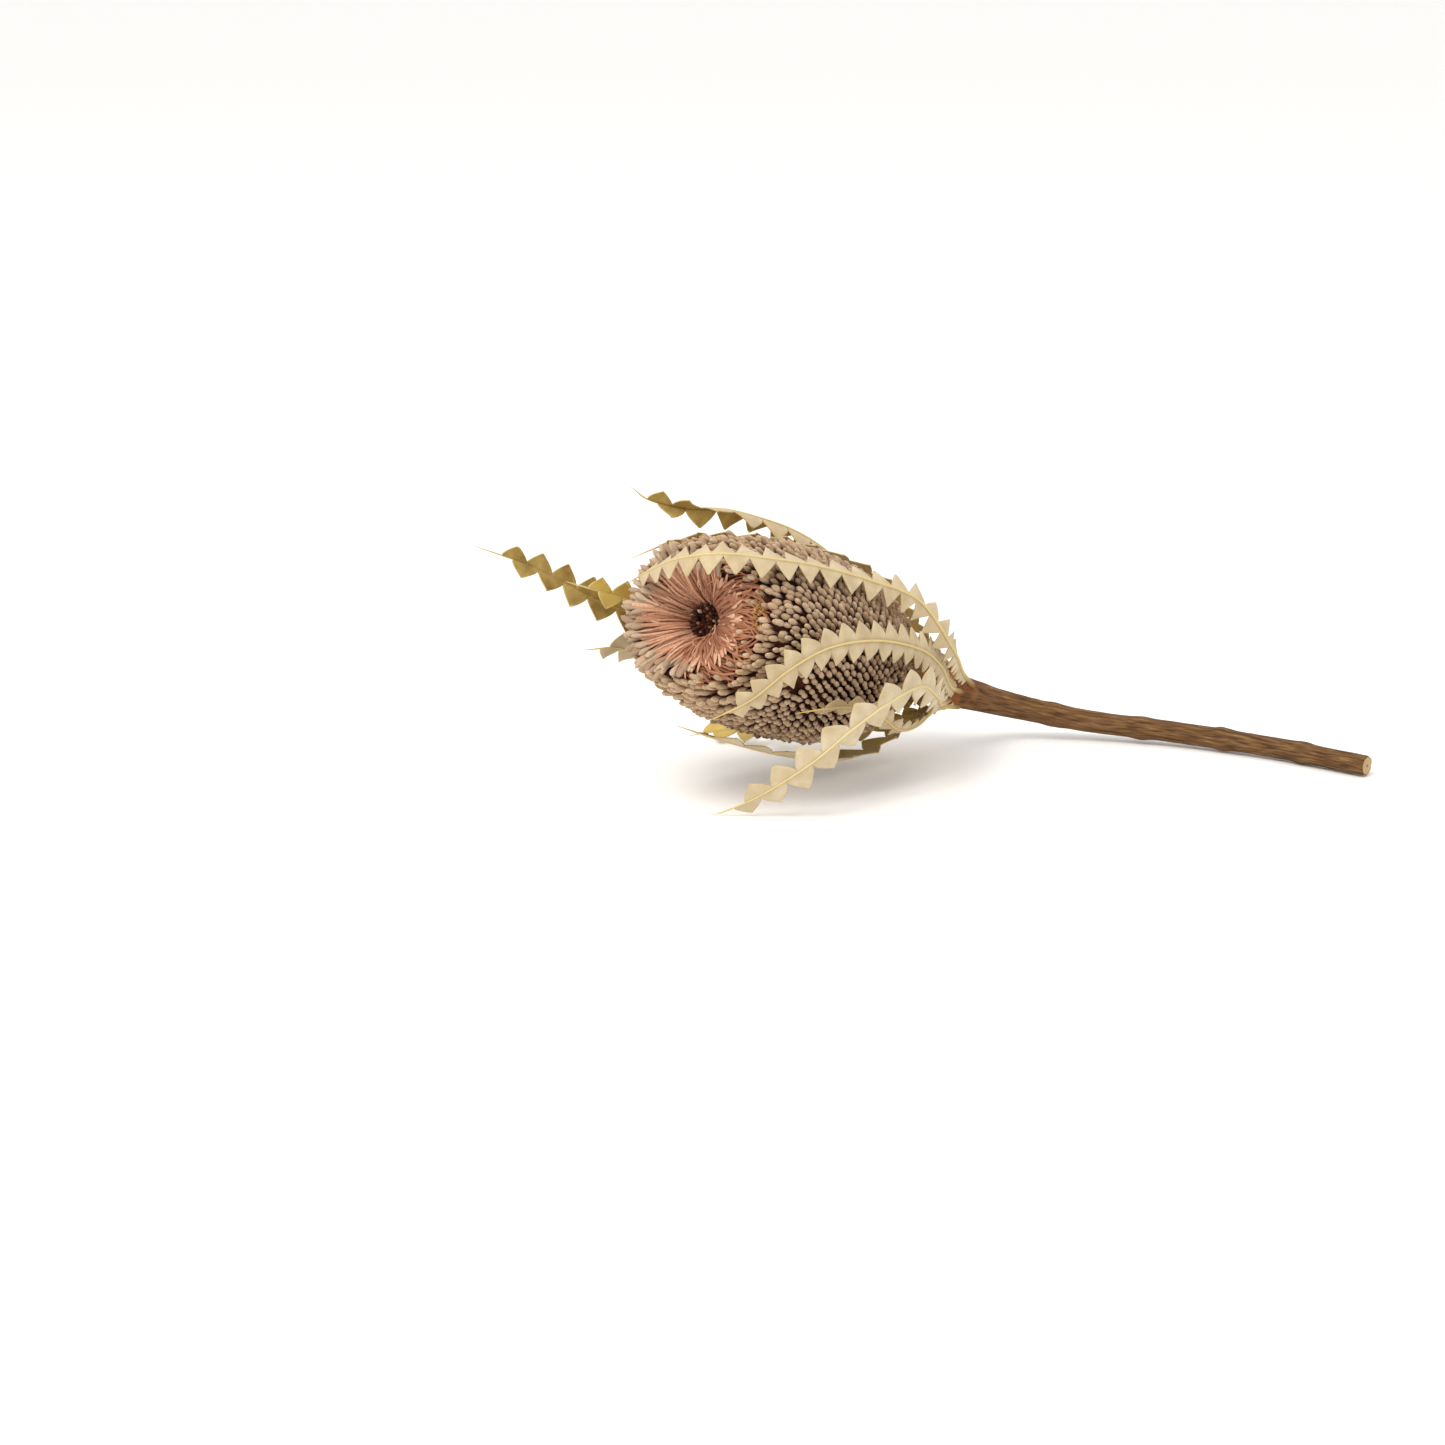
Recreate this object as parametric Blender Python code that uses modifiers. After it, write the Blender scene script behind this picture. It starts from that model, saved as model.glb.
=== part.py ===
"""Dried banksia flower spike lying on its side, with saw-edged leaves and a woody stem. Metres, +Z up.

The spike is described round its own axis: a place is (along, round, out), which is the distance along
the axis from the lowest florets, the angle round it from its upper side, and the distance out from it.
"""
import math
import random

import bmesh
import bpy
from mathutils import Matrix, Vector

# Driving dimensions, in millimetres and degrees
MM = 0.001
NECK_HEIGHT = 26.0          # height of the neck above the ground
NECK_LENGTH = 40.0          # neck's middle to the lowest florets
HEADING = 38.0              # the spike points to -X, turned this much toward the front
TILT = 20.5                 # and rises this much toward its tip
FOOT_X = 13.73              # the ground point below the neck, seen from the middle of the whole piece
FOOT_Y = 50.19
GAP = 0.3                   # free space between neighbouring pieces
GROUND_CUT = (0.6, 0.4, 0.1)    # box that trims what reaches below the ground, in metres

HEAD_PROFILE = [(0, 12.5), (4, 20), (12, 27.5), (26, 35), (46, 40), (66, 41.3), (84, 40.6),
                (101, 37.8), (114, 34.3), (123.5, 30.6), (129, 26.3)]
HEAD_SAMPLES = 24
FLORET_COLUMNS = 32
FLORET_ROWS = 21
FLORET_CELL = (5.2, 2.4, 0.74, 0.66)    # height, lean, height share and width share of its shoulder
FLORET_ROOT = 1.5           # the florets lean, so their roots sit this much nearer the neck
NECK_FLORETS = 0.45         # share of the height at the neck
CELL_RISE = (0.88, 1.08)    # ranges of the cells' own differences
CELL_PUSH = (0.8, 1.2)
CELL_SWAY = 0.5
DISH_EDGE = (117.5, 22.5)   # the hollow at the tip: edge, foot of its wall, floor
DISH_FOOT = (106.5, 8.0)
PIT_FLOOR = 105.3
PIT_RADIUS = 7.2
DIP_ANGLE = 85.0            # the rim is worn down on this side of the tip
DIP_WIDTH = 95.0
DIP_START = 106.0
DIP_SHARE = 0.55

CROWN_TUBES = 32
CROWN_THICKNESS = 2.6
CROWN_EDGE = 0.8            # thickness of the crown at its foot
LOW_RIDGE = 0.42            # every second tube is lower
RIDGE_RANGE = (0.85, 1.15)
CROWN_STATIONS = [(0.06, 0.0), (0.3, 0.8), (0.65, 1.0), (0.93, 0.75)]   # up the wall, share of the ridge

BUD_PROFILE = [(PIT_FLOOR + GAP, 6.0), (PIT_FLOOR + 2.2, 5.6), (PIT_FLOOR + 4.4, 3.6), (PIT_FLOOR + 5.2, 1.4)]
BUD_TOP = PIT_FLOOR + 5.8
BUDS_ROUND = 9
BUD_ROWS = 4
BUD_CELL = (1.0, 0.5, 0.7, 0.6)

COLLAR_START = -16.0
COLLAR_END = -0.8
COLLAR_PROFILE = [(COLLAR_START, 7.4), (-8.0, 9.6), (COLLAR_END, 12.2)]
SCALES_ROUND = 14
SCALE_ROWS = 3
SCALE_CELL = (1.9, 1.5, 0.6, 0.62)
LAST_SCALES = 0.65          # share of the height next to the florets

LEAF_THICKNESS = 0.8
RIB_THICKNESS = 1.7
RIB_HALF_WIDTH = 1.0
LOBE_HEIGHT = 8.5
LOBE_POINT = 0.56           # where along its run a lobe has its point
NEAR_MARGIN = (0.35, 0.13, 0.6)     # run share, less this for a full lobe, height share
FAR_MARGIN = (0.78, -0.08, 0.48)
STEEPEST = 1.15             # a lobe's greatest height for its run
BARE_STALK = 0.05           # share of the leaf without lobes
LOBED_SHARE = 0.9
SMALL_PITCH = 0.32          # run of the smallest lobes, as a share of the largest
END_LOBES = (0.8, 0.88)     # from this share of the lobes on, their run is this share
LAST_LOBE = 0.42            # how far the last lobe of the second side goes on, as a share of its run
CORE_START = 10.0           # leaves face away from this stretch of the spike's axis
CORE_END = 85.0
SEED = 7

# The spike's own directions
heading = math.radians(HEADING)
tilt = math.radians(TILT)
AXIS = Vector((-math.cos(tilt) * math.cos(heading), -math.cos(tilt) * math.sin(heading), math.sin(tilt)))
UPPER = (Vector((0, 0, 1)) - AXIS.z * AXIS).normalized()
FRONT = UPPER.cross(AXIS)
NECK = Vector((FOOT_X, FOOT_Y, NECK_HEIGHT))
BASE = NECK + NECK_LENGTH * AXIS


def outward(angle):
    """Direction away from the spike's axis, at an angle round it from its upper side."""
    a = math.radians(angle)
    return math.cos(a) * UPPER + math.sin(a) * FRONT


def place(along, angle, out):
    """Point of the spike in millimetres of the world."""
    return BASE + along * AXIS + out * outward(angle)


def blend(points, fraction):
    """Value at a fraction of an evenly spaced list, on a smooth curve through all its points."""
    spans = len(points) - 1
    x = min(max(fraction, 0.0), 1.0) * spans
    i = min(int(x), spans - 1)
    t = x - i
    p1 = points[i]
    p2 = points[i + 1]
    p0 = points[i - 1] if i > 0 else 2 * p1 - p2
    p3 = points[i + 2] if i + 2 <= spans else 2 * p2 - p1
    return 0.5 * (2 * p1 + (p2 - p0) * t + (2 * p0 - 5 * p1 + 4 * p2 - p3) * t * t
                  + (3 * p1 - 3 * p2 + p3 - p0) * t ** 3)


def even_curve(points, extra, samples=240):
    """Points and extra values along a smooth curve, with functions of the length travelled."""
    line = [blend(points, i / samples) for i in range(samples + 1)]
    more = [blend(extra, i / samples) for i in range(samples + 1)]
    travelled = [0.0]
    for a, b in zip(line, line[1:]):
        travelled.append(travelled[-1] + (b - a).length)

    def at(length):
        length = min(max(length, 0.0), travelled[-1])
        i = 0
        while i < samples - 1 and travelled[i + 1] < length:
            i += 1
        t = (length - travelled[i]) / (travelled[i + 1] - travelled[i])
        return line[i].lerp(line[i + 1], t), more[i] + (more[i + 1] - more[i]) * t

    return at, travelled[-1]


# Start from an empty scene
for thing in list(bpy.data.objects):
    bpy.data.objects.remove(thing, do_unlink=True)

banksia = bpy.data.collections.new("banksia_cone")
bpy.context.scene.collection.children.link(banksia)


def material(name, colour, roughness):
    """Plain surface of one colour."""
    surface = bpy.data.materials.new(name)
    surface.use_nodes = True
    shader = surface.node_tree.nodes["Principled BSDF"]
    shader.inputs["Base Color"].default_value = (*colour, 1.0)
    shader.inputs["Roughness"].default_value = roughness
    shader.inputs["Metallic"].default_value = 0.0
    surface.diffuse_color = (*colour, 1.0)
    return surface


def add_object(name, vertices, faces, surface):
    """Mesh object from points in millimetres, with its faces turned the same way."""
    mesh = bpy.data.meshes.new(name)
    mesh.from_pydata([tuple(v * MM) for v in vertices], [], faces)
    mesh.materials.append(surface)
    shaped = bmesh.new()
    shaped.from_mesh(mesh)
    bmesh.ops.recalc_face_normals(shaped, faces=shaped.faces)
    shaped.to_mesh(mesh)
    shaped.free()
    thing = bpy.data.objects.new(name, mesh)
    banksia.objects.link(thing)
    return thing


# What reaches below the ground is trimmed flat by one box
cutters = bpy.data.collections.new("cutters")
bpy.context.scene.collection.children.link(cutters)
bpy.ops.mesh.primitive_cube_add(size=1, location=(0, 0, -GROUND_CUT[2] / 2))
ground = bpy.context.object
ground.name = "ground_cutter"
ground.scale = GROUND_CUT
ground.hide_render = True
ground.display_type = "WIRE"
for home in ground.users_collection:
    home.objects.unlink(ground)
cutters.objects.link(ground)


def trim_at_ground(thing):
    """Small flat spot where a piece rests."""
    cut = thing.modifiers.new("flat spot", "BOOLEAN")
    cut.operation = "DIFFERENCE"
    cut.object = ground


# The head: one solid body covered with leaning florets in crossing spirals
def profile_curve(profile):
    """Function of the fraction travelled along a profile, giving (along, radius, direction, outward)."""
    points = [Vector((a, r, 0)) for a, r in profile]
    at, length = even_curve(points, [0.0] * len(points), 400)

    def sample(fraction):
        p = at(fraction * length)[0]
        step = at(fraction * length + 0.5)[0] - at(fraction * length - 0.5)[0]
        step.normalize()
        return p.x, p.y, step, Vector((-step.y, step.x, 0))

    return sample


def head_place(along, angle, out):
    """Point of the head, whose tip is worn down on one side."""
    off = abs((angle - DIP_ANGLE + 180) % 360 - 180)
    share = DIP_SHARE * 0.5 * (1 + math.cos(math.pi * min(1.0, off / DIP_WIDTH)))
    return place(along - share * max(0.0, along - DIP_START), angle, out)


def spiral_cells(sample, columns, rows, cell, rng, shrink):
    """Turned surface of diamond cells in staggered rows, each raised to a leaning rounded tip."""
    height, lean, shoulder, width = cell
    vertices = []
    faces = []
    rings = []
    for i in range(rows + 2):
        along, radius, step, out = sample(i / (rows + 1))
        ring = []
        for j in range(columns):
            angle = 360.0 * (j + 0.5 * (i % 2)) / columns
            ring.append(len(vertices))
            vertices.append(head_place(along, angle, radius))
        rings.append(ring)
    for i in range(rows):
        along, radius, step, out = sample((i + 1) / (rows + 1))
        size = shrink(i / (rows - 1))
        for j in range(columns):
            angle = 360.0 * (j + 0.5 * (i % 2)) / columns
            left = (j - 1 if i % 2 == 0 else j) % columns
            right = (j if i % 2 == 0 else j + 1) % columns
            corners = [rings[i][j], rings[i + 1][right], rings[i + 2][j], rings[i + 1][left]]
            centre = sum((vertices[k] for k in corners), Vector()) / 4
            out_dir = out.x * AXIS + out.y * outward(angle)
            tip_dir = step.x * AXIS + step.y * outward(angle)
            side_dir = out_dir.cross(tip_dir)
            rise = height * size * rng.uniform(*CELL_RISE)
            push = lean * size * rng.uniform(*CELL_PUSH)
            sway = rng.uniform(-CELL_SWAY, CELL_SWAY)
            lift = out_dir * rise * shoulder + tip_dir * push * shoulder + side_dir * sway * shoulder
            first = len(vertices)
            for k in corners:
                vertices.append(centre + (vertices[k] - centre) * width + lift)
            vertices.append(centre + out_dir * rise + tip_dir * push + side_dir * sway)
            for c in range(4):
                d = (c + 1) % 4
                faces.append((corners[c], corners[d], first + d, first + c))
                faces.append((first + c, first + d, first + 4))
    for j in range(columns):
        faces.append((rings[0][j], rings[0][(j + 1) % columns], rings[1][j]))
        last = rings[rows + 1]
        before = rings[rows]
        if (rows + 1) % 2 == 0:
            faces.append((last[j], before[j], last[(j + 1) % columns]))
        else:
            faces.append((last[(j - 1) % columns], before[j], last[j]))
    return vertices, faces, rings[0], rings[rows + 1]


def close_with_rings(vertices, faces, start, circles, offset):
    """Goes on from a ring of vertices through further circles and closes with one point."""
    columns = len(start)
    ring = start
    for along, radius in circles:
        if radius == 0:
            tip = len(vertices)
            vertices.append(head_place(along, 0.0, 0))
            for j in range(columns):
                faces.append((ring[j], ring[(j + 1) % columns], tip))
            return
        following = []
        for j in range(columns):
            following.append(len(vertices))
            vertices.append(head_place(along, 360.0 * (j + offset) / columns, radius))
        for j in range(columns):
            k = (j + 1) % columns
            faces.append((ring[j], ring[k], following[k], following[j]))
        ring = following


def grown(share):
    """The florets' height share at a share of the way from neck to tip: full after a quarter."""
    return min(1.0, NECK_FLORETS + (1 - NECK_FLORETS) * 4 * share)


rng = random.Random(SEED)
root_profile = []
outline = profile_curve(HEAD_PROFILE)
for i in range(HEAD_SAMPLES + 1):
    along, radius, step, out = outline(i / HEAD_SAMPLES)
    root = FLORET_CELL[0] * grown(i / HEAD_SAMPLES) * out + FLORET_ROOT * step
    root_profile.append((along - root.x, radius - root.y))

head_vertices, head_faces, low_ring, top_ring = spiral_cells(
    profile_curve(root_profile), FLORET_COLUMNS, FLORET_ROWS, FLORET_CELL, rng, grown)
close_with_rings(head_vertices, head_faces, low_ring, [(0.0, 0)], 0.0)
top_offset = 0.5 * ((FLORET_ROWS + 1) % 2)
dish_circles = [DISH_EDGE, DISH_FOOT, (PIT_FLOOR, PIT_RADIUS), (PIT_FLOOR, 0)]
close_with_rings(head_vertices, head_faces, top_ring, dish_circles, top_offset)
woolly = material("woolly_florets", (0.42, 0.31, 0.22), 0.9)
add_object("flower_head", head_vertices, head_faces, woolly)

# The pink crown: a dished ring of radial tubes lining the hollow at the tip
def crown_point(fraction, lift, angle):
    """Point over the hollow's wall, from its foot (0) to its edge (1), raised off the wall."""
    slope = Vector((DISH_EDGE[0] - DISH_FOOT[0], DISH_EDGE[1] - DISH_FOOT[1], 0))
    up = Vector((slope.y, -slope.x, 0)).normalized()
    return head_place(DISH_FOOT[0] + fraction * slope.x + lift * up.x, angle,
                      DISH_FOOT[1] + fraction * slope.y + lift * up.y)


crown_vertices = []
crown_faces = []
columns = 2 * CROWN_TUBES
for j in range(columns):
    angle = 360.0 * j / columns
    ridge = rng.uniform(*RIDGE_RANGE) * (1.0 if j % 2 == 0 else LOW_RIDGE)
    crown_vertices.append(crown_point(CROWN_STATIONS[0][0], GAP, angle))
    for fraction, share in CROWN_STATIONS:
        thickness = CROWN_EDGE + (CROWN_THICKNESS - CROWN_EDGE) * share * ridge
        crown_vertices.append(crown_point(fraction, GAP + thickness, angle))
    crown_vertices.append(crown_point(CROWN_STATIONS[-1][0], GAP, angle))
around = len(CROWN_STATIONS) + 2
for j in range(columns):
    a = j * around
    b = ((j + 1) % columns) * around
    for k in range(around):
        m = (k + 1) % around
        crown_faces.append((a + k, a + m, b + m, b + k))
pink = material("pink_tubes", (0.45, 0.24, 0.16), 0.75)
add_object("pink_crown", crown_vertices, crown_faces, pink)

# The dark buds still closed in the middle of the hollow
bud_vertices, bud_faces, low_ring, top_ring = spiral_cells(
    profile_curve(BUD_PROFILE), BUDS_ROUND, BUD_ROWS, BUD_CELL, rng, lambda share: 1.0)
close_with_rings(bud_vertices, bud_faces, low_ring, [(PIT_FLOOR + GAP, 0)], 0.0)
close_with_rings(bud_vertices, bud_faces, top_ring, [(BUD_TOP, 0)], 0.0)
dark = material("dark_buds", (0.09, 0.035, 0.02), 0.8)
add_object("apex_buds", bud_vertices, bud_faces, dark)

# The collar of short pointed scales between the stem and the lowest florets
collar_vertices, collar_faces, low_ring, top_ring = spiral_cells(
    profile_curve(COLLAR_PROFILE), SCALES_ROUND, SCALE_ROWS, SCALE_CELL, rng,
    lambda share: 1.0 + (LAST_SCALES - 1.0) * share)
close_with_rings(collar_vertices, collar_faces, low_ring, [(COLLAR_START, 0)], 0.0)
close_with_rings(collar_vertices, collar_faces, top_ring, [(COLLAR_END, 0)], 0.0)
brown = material("bract_scales", (0.3, 0.17, 0.08), 0.9)
add_object("bract_collar", collar_vertices, collar_faces, brown)


# The stem: a knotted tube from the collar down to its cut end on the ground
STEM_PATH = [place(COLLAR_START - GAP, 0, 0), place(-28, 0, 0), place(-40, 0, 0), place(-52, 0, 0),
             NECK + Vector((26, 14, -10.6)), NECK + Vector((58, 14, -17.4)),
             NECK + Vector((97, 4, -20.2)), NECK + Vector((137, -17, -21.2)),
             NECK + Vector((174, -46, -21.7))]
STEM_RADII = [7.4, 7.9, 7.6, 6.9, 5.6, 5.0, 4.7, 4.5, 4.4]
STEM_STATIONS = 30
KNOTS = [0.34, 0.52, 0.69, 0.86]
KNOT_RISE = 0.55
KNOT_REACH = 4.0
stem_at, stem_length = even_curve(STEM_PATH, STEM_RADII)
stem_curve = bpy.data.curves.new("stem", "CURVE")
stem_curve.dimensions = "3D"
stem_curve.bevel_depth = MM
stem_curve.bevel_resolution = 4
stem_curve.use_fill_caps = True
stem_line = stem_curve.splines.new("POLY")
stem_line.points.add(STEM_STATIONS - 1)
for i, point in enumerate(stem_line.points):
    travelled = stem_length * i / (STEM_STATIONS - 1)
    centre, radius = stem_at(travelled)
    for knot in KNOTS:
        radius += KNOT_RISE * math.exp(-((travelled - knot * stem_length) / KNOT_REACH) ** 2)
    point.co = (*(centre * MM), 1.0)
    point.radius = radius
tube = bpy.data.objects.new("stem_line", stem_curve)
banksia.objects.link(tube)
bpy.context.view_layer.update()
stem_mesh = bpy.data.meshes.new_from_object(tube.evaluated_get(bpy.context.evaluated_depsgraph_get()))
bpy.data.objects.remove(tube, do_unlink=True)
welded = bmesh.new()
welded.from_mesh(stem_mesh)
bmesh.ops.remove_doubles(welded, verts=welded.verts, dist=0.00001)
welded.to_mesh(stem_mesh)
welded.free()
stem_mesh.materials.append(material("stem_wood", (0.23, 0.13, 0.07), 0.85))
stem = bpy.data.objects.new("stem", stem_mesh)
banksia.objects.link(stem)
trim_at_ground(stem)


# The leaves: long blades cut almost to the rib into pointed lobes, alternating on the two sides
def lobe_outline(start, middle, end, side, height, full, web):
    """Corner points of one lobe in the flat leaf: (distance along the rib, distance off it).

    The margins of a full lobe (1) bulge, and those of a sharp one (0) are straight. The web is what stays
    uncut along the rib."""
    run = end - start
    near = (start + (NEAR_MARGIN[0] - NEAR_MARGIN[1] * full) * run, web + NEAR_MARGIN[2] * (height - web))
    far = (start + (FAR_MARGIN[0] - FAR_MARGIN[1] * full) * run, web + FAR_MARGIN[2] * (height - web))
    return [(start, 0.0), (middle, 0.0), (end, 0.0), (end, side * web), (far[0], side * far[1]),
            (start + LOBE_POINT * run, side * height), (near[0], side * near[1]), (start, side * web)]


def flat_leaf(length, lobes, full, small, web, tall):
    """Triangles of the flat leaf, each three (along, off) points.

    Lobes are short near the stalk: small says after what share of them they begin to grow, and by what
    share they have grown. A young leaf's lobes are less tall."""
    pitches = []
    for k in range(lobes):
        risen = min(1.0, max(0.0, (k / lobes - small[0]) / (small[1] - small[0])))
        ending = 1.0 if k < END_LOBES[0] * lobes else END_LOBES[1]
        pitches.append((SMALL_PITCH + (1 - SMALL_PITCH) * risen) * ending)
    unit = LOBED_SHARE * length / (sum(pitches) + 0.5)
    bounds = [BARE_STALK * length]
    for p in pitches:
        bounds.append(bounds[-1] + p * unit)
    middles = [(a + b) / 2 for a, b in zip(bounds, bounds[1:])]
    middles.append(bounds[-1] + LAST_LOBE * pitches[-1] * unit)
    triangles = []

    def fan(start, middle, end, side):
        share = (start + LOBE_POINT * (end - start)) / length
        tapered = tall * LOBE_HEIGHT * min(1.0, 0.2 + 1.95 * share) * min(1.0, 0.45 + 2.6 * (1 - share))
        height = min(tapered, STEEPEST * (end - start) + RIB_HALF_WIDTH)
        uncut = RIB_HALF_WIDTH + (web - RIB_HALF_WIDTH) * height / LOBE_HEIGHT
        c0, c1, c2, s2, q2, tip, q1, s0 = lobe_outline(start, middle, end, side, height, full, uncut)
        triangles.extend([(c0, s0, q1), (c0, q1, c1), (c1, q1, tip), (c1, tip, q2), (c1, q2, c2),
                          (c2, q2, s2)])

    for k in range(lobes):
        fan(bounds[k], middles[k], bounds[k + 1], 1)
        fan(middles[k], bounds[k + 1], middles[k + 1], -1)
    w = RIB_HALF_WIDTH
    low = (0.0, 0.0)
    b0 = (bounds[0], 0.0)
    m0 = (middles[0], 0.0)
    triangles.extend([(low, (0.0, w), b0), ((0.0, w), (bounds[0], w), b0)])
    triangles.extend([(low, (0.0, -w), b0), ((0.0, -w), (middles[0], -w), b0),
                      (b0, (middles[0], -w), m0)])
    b_end = (bounds[-1], 0.0)
    m_end = (middles[-1], 0.0)
    point = (length, 0.0)
    triangles.extend([(b_end, (bounds[-1], w), m_end), ((bounds[-1], w), point, m_end)])
    triangles.append((m_end, point, (middles[-1], -w)))
    return triangles


def leaf(name, path, lobes, fold, full=0.5, small=(0.0, 0.45), web=RIB_HALF_WIDTH, tall=1.0):
    """Lobed blade along a path of (along, round, out, roll) points, folded about its raised rib."""
    across = math.cos(math.radians(fold))
    inward = math.sin(math.radians(fold))
    points = [place(a, angle, out) for a, angle, out, roll in path]
    at, length = even_curve(points, [roll for a, angle, out, roll in path])

    def frame(u):
        centre, roll = at(u)
        direction = (at(u + 0.6)[0] - at(u - 0.6)[0]).normalized()
        along = (centre - BASE).dot(AXIS)
        core = BASE + min(max(along, CORE_START), CORE_END) * AXIS
        away = centre - core
        away -= away.dot(direction) * direction
        away.normalize()
        away.rotate(Matrix.Rotation(math.radians(roll), 3, direction))
        return centre, direction.cross(away), away

    ids = {}
    vertices = []
    faces = []
    for triangle in flat_leaf(length, lobes, full, small, web, tall):
        for u, v in triangle:
            if (u, v) not in ids:
                ids[(u, v)] = len(ids)
                centre, sideways, away = frame(u)
                vertices.append(centre + v * across * sideways - abs(v) * inward * away)
        faces.append([ids[corner] for corner in triangle])
    blade = add_object(name, vertices, faces, felt)
    rib = blade.vertex_groups.new(name="rib")
    rib.add([k for (u, v), k in ids.items() if v == 0.0 and u < length], 1.0, "REPLACE")
    solid = blade.modifiers.new("thickness", "SOLIDIFY")
    solid.thickness = RIB_THICKNESS * MM
    solid.offset = 0.0
    solid.use_even_offset = True
    solid.vertex_group = "rib"
    solid.thickness_vertex_group = LEAF_THICKNESS / RIB_THICKNESS
    return blade


felt = material("leaf_felt", (0.62, 0.52, 0.36), 0.85)

leaf("leaf_top_front", [(-46, 66, 9.4, 0), (-26, 63, 18, -8), (4, 65, 40.5, -20), (26, 46, 46, -24),
                        (54, 40, 47, -10), (84, 38, 45.5, 0), (108, 40, 43.5, 0), (128.5, 38, 36, 0),
                        (135, 12, 21, 0), (132, -48, 19.5, 0), (125, -82, 36, 0)],
     21, 22, full=0.15, small=(0.0, 0.6))
leaf("leaf_top_back", [(-40, -12, 9.4, 0), (-22, -17, 18, 0), (-3, -20, 33, 0), (14, -20, 40.5, 0),
                       (36, -21, 44.5, 0), (60, -27, 45.5, 0), (84, -36, 44.5, 0), (102, -43, 43, 0),
                       (114, -55, 42, 0), (124, -68, 42, 0)], 14, 12)
leaf("leaf_curled_back", [(-46, -48, 9.4, 0), (-28, -46, 18, 0), (-8, -44, 34, 0), (10, -40, 45, -10),
                          (28, -36, 52.5, -26), (48, -33, 55.5, -34), (68, -32, 56, -30),
                          (88, -35, 57, 0), (102, -44, 59, 42), (118, -47, 61, 62),
                          (131, -44, 62, 68)], 14, 34, full=0.6)
leaf("leaf_across_front", [(-39, 90, 9.4, 0), (-22, 86, 15, 0), (2, 75, 32, 0), (24, 72, 41, 0),
                           (54, 76, 46.5, 0), (80, 86, 47.5, 0), (96, 102, 46.5, 0),
                           (105, 124, 46, 0), (112, 148, 46, 0)],
     24, 6, full=0.3, small=(0.0, 0.65), web=2.6)
low_front = leaf("leaf_low_front", [(-34, 128, 9.6, 0), (-16, 112, 20, 0), (6, 97, 39, 0),
                                    (27, 92, 50, 0), (47, 101, 57, 0), (63, 116, 61, 15),
                                    (73, 132, 65.5, 35), (80, 151, 70, 40), (86, 163, 75.5, 30),
                                    (90, 169, 79, 15)],
                 16, 8, full=0.8, small=(0.25, 0.5))
leaf("leaf_small_front", [(-44, 150, 9.4, 0), (-26, 148, 12, 0), (-8, 140, 25, 0), (14, 127, 37, 0),
                          (38, 114, 44.5, 0), (56, 113, 46.5, 0), (70, 118, 47, 0),
                          (80, 124, 47, 0)], 12, 14, tall=0.6)
leaf("leaf_tip_low", [(-44, -163, 9.4, 0), (-26, -161, 15, 0), (-4, -155, 32, 0), (20, -145, 42, 0),
                      (50, -132, 47.5, 0), (84, -120, 50, 70), (112, -117, 47, 135),
                      (138, -127, 43, 150)], 13, 10, full=0.6)
leaf("leaf_long_back", [(-46, -112, 9.4, 0), (-28, -110, 15, 0), (-6, -107, 31, 0), (16, -105, 43, 0),
                        (50, -102, 50, 0), (90, -98, 53, 0), (124, -95, 55, 0), (156, -89, 57, 0),
                        (189, -87, 58, 0)], 17, 10)
leaf("leaf_short_back", [(-38, -78, 9.4, 0), (-20, -77, 17, 0), (0, -78, 33, 0), (20, -80, 42, 0),
                         (55, -86, 46, 0), (90, -90, 46.5, 0), (124, -91, 46.5, 0),
                         (147, -91, 47, 0)], 14, 8)
leaf("leaf_under", [(-37, 174, 9.4, 0), (-20, 175, 17, 0), (0, 174, 33, 0), (20, 172, 42, 0),
                    (52, 170, 46.5, 0), (84, 174, 46.5, 0), (104, -176, 45.5, 0)], 10, 10)
prop_back = leaf("leaf_prop_back", [(-33, -137, 9.6, 0), (-18, -134, 20, 0), (-5, -131, 38, 0),
                                    (8, -127, 57, 0), (16, -124, 76, 0), (22, -121.5, 92, 0),
                                    (27, -121.2, 102.2, 0)], 9, 8)

trim_at_ground(low_front)
trim_at_ground(prop_back)
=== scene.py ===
# %% [markdown]
# # A dried banksia flower spike
#
# A banksia spike is a woody core packed with thousands of small florets, each a thin tube with a woolly
# knob at its end. This one was dried before all of them had opened. Long leaves, cut to the rib into
# pointed lobes, stand round it, and it lies on its side on its woody stem.
#
# The solids of the piece are already made. This lesson dresses them: every solid is hidden and a finer
# piece takes its place, at the same spot and size. Lengths are in millimetres until a mesh is made.

# %% Load the solids
import math

import bpy
import numpy as np
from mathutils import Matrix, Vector, noise


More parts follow.
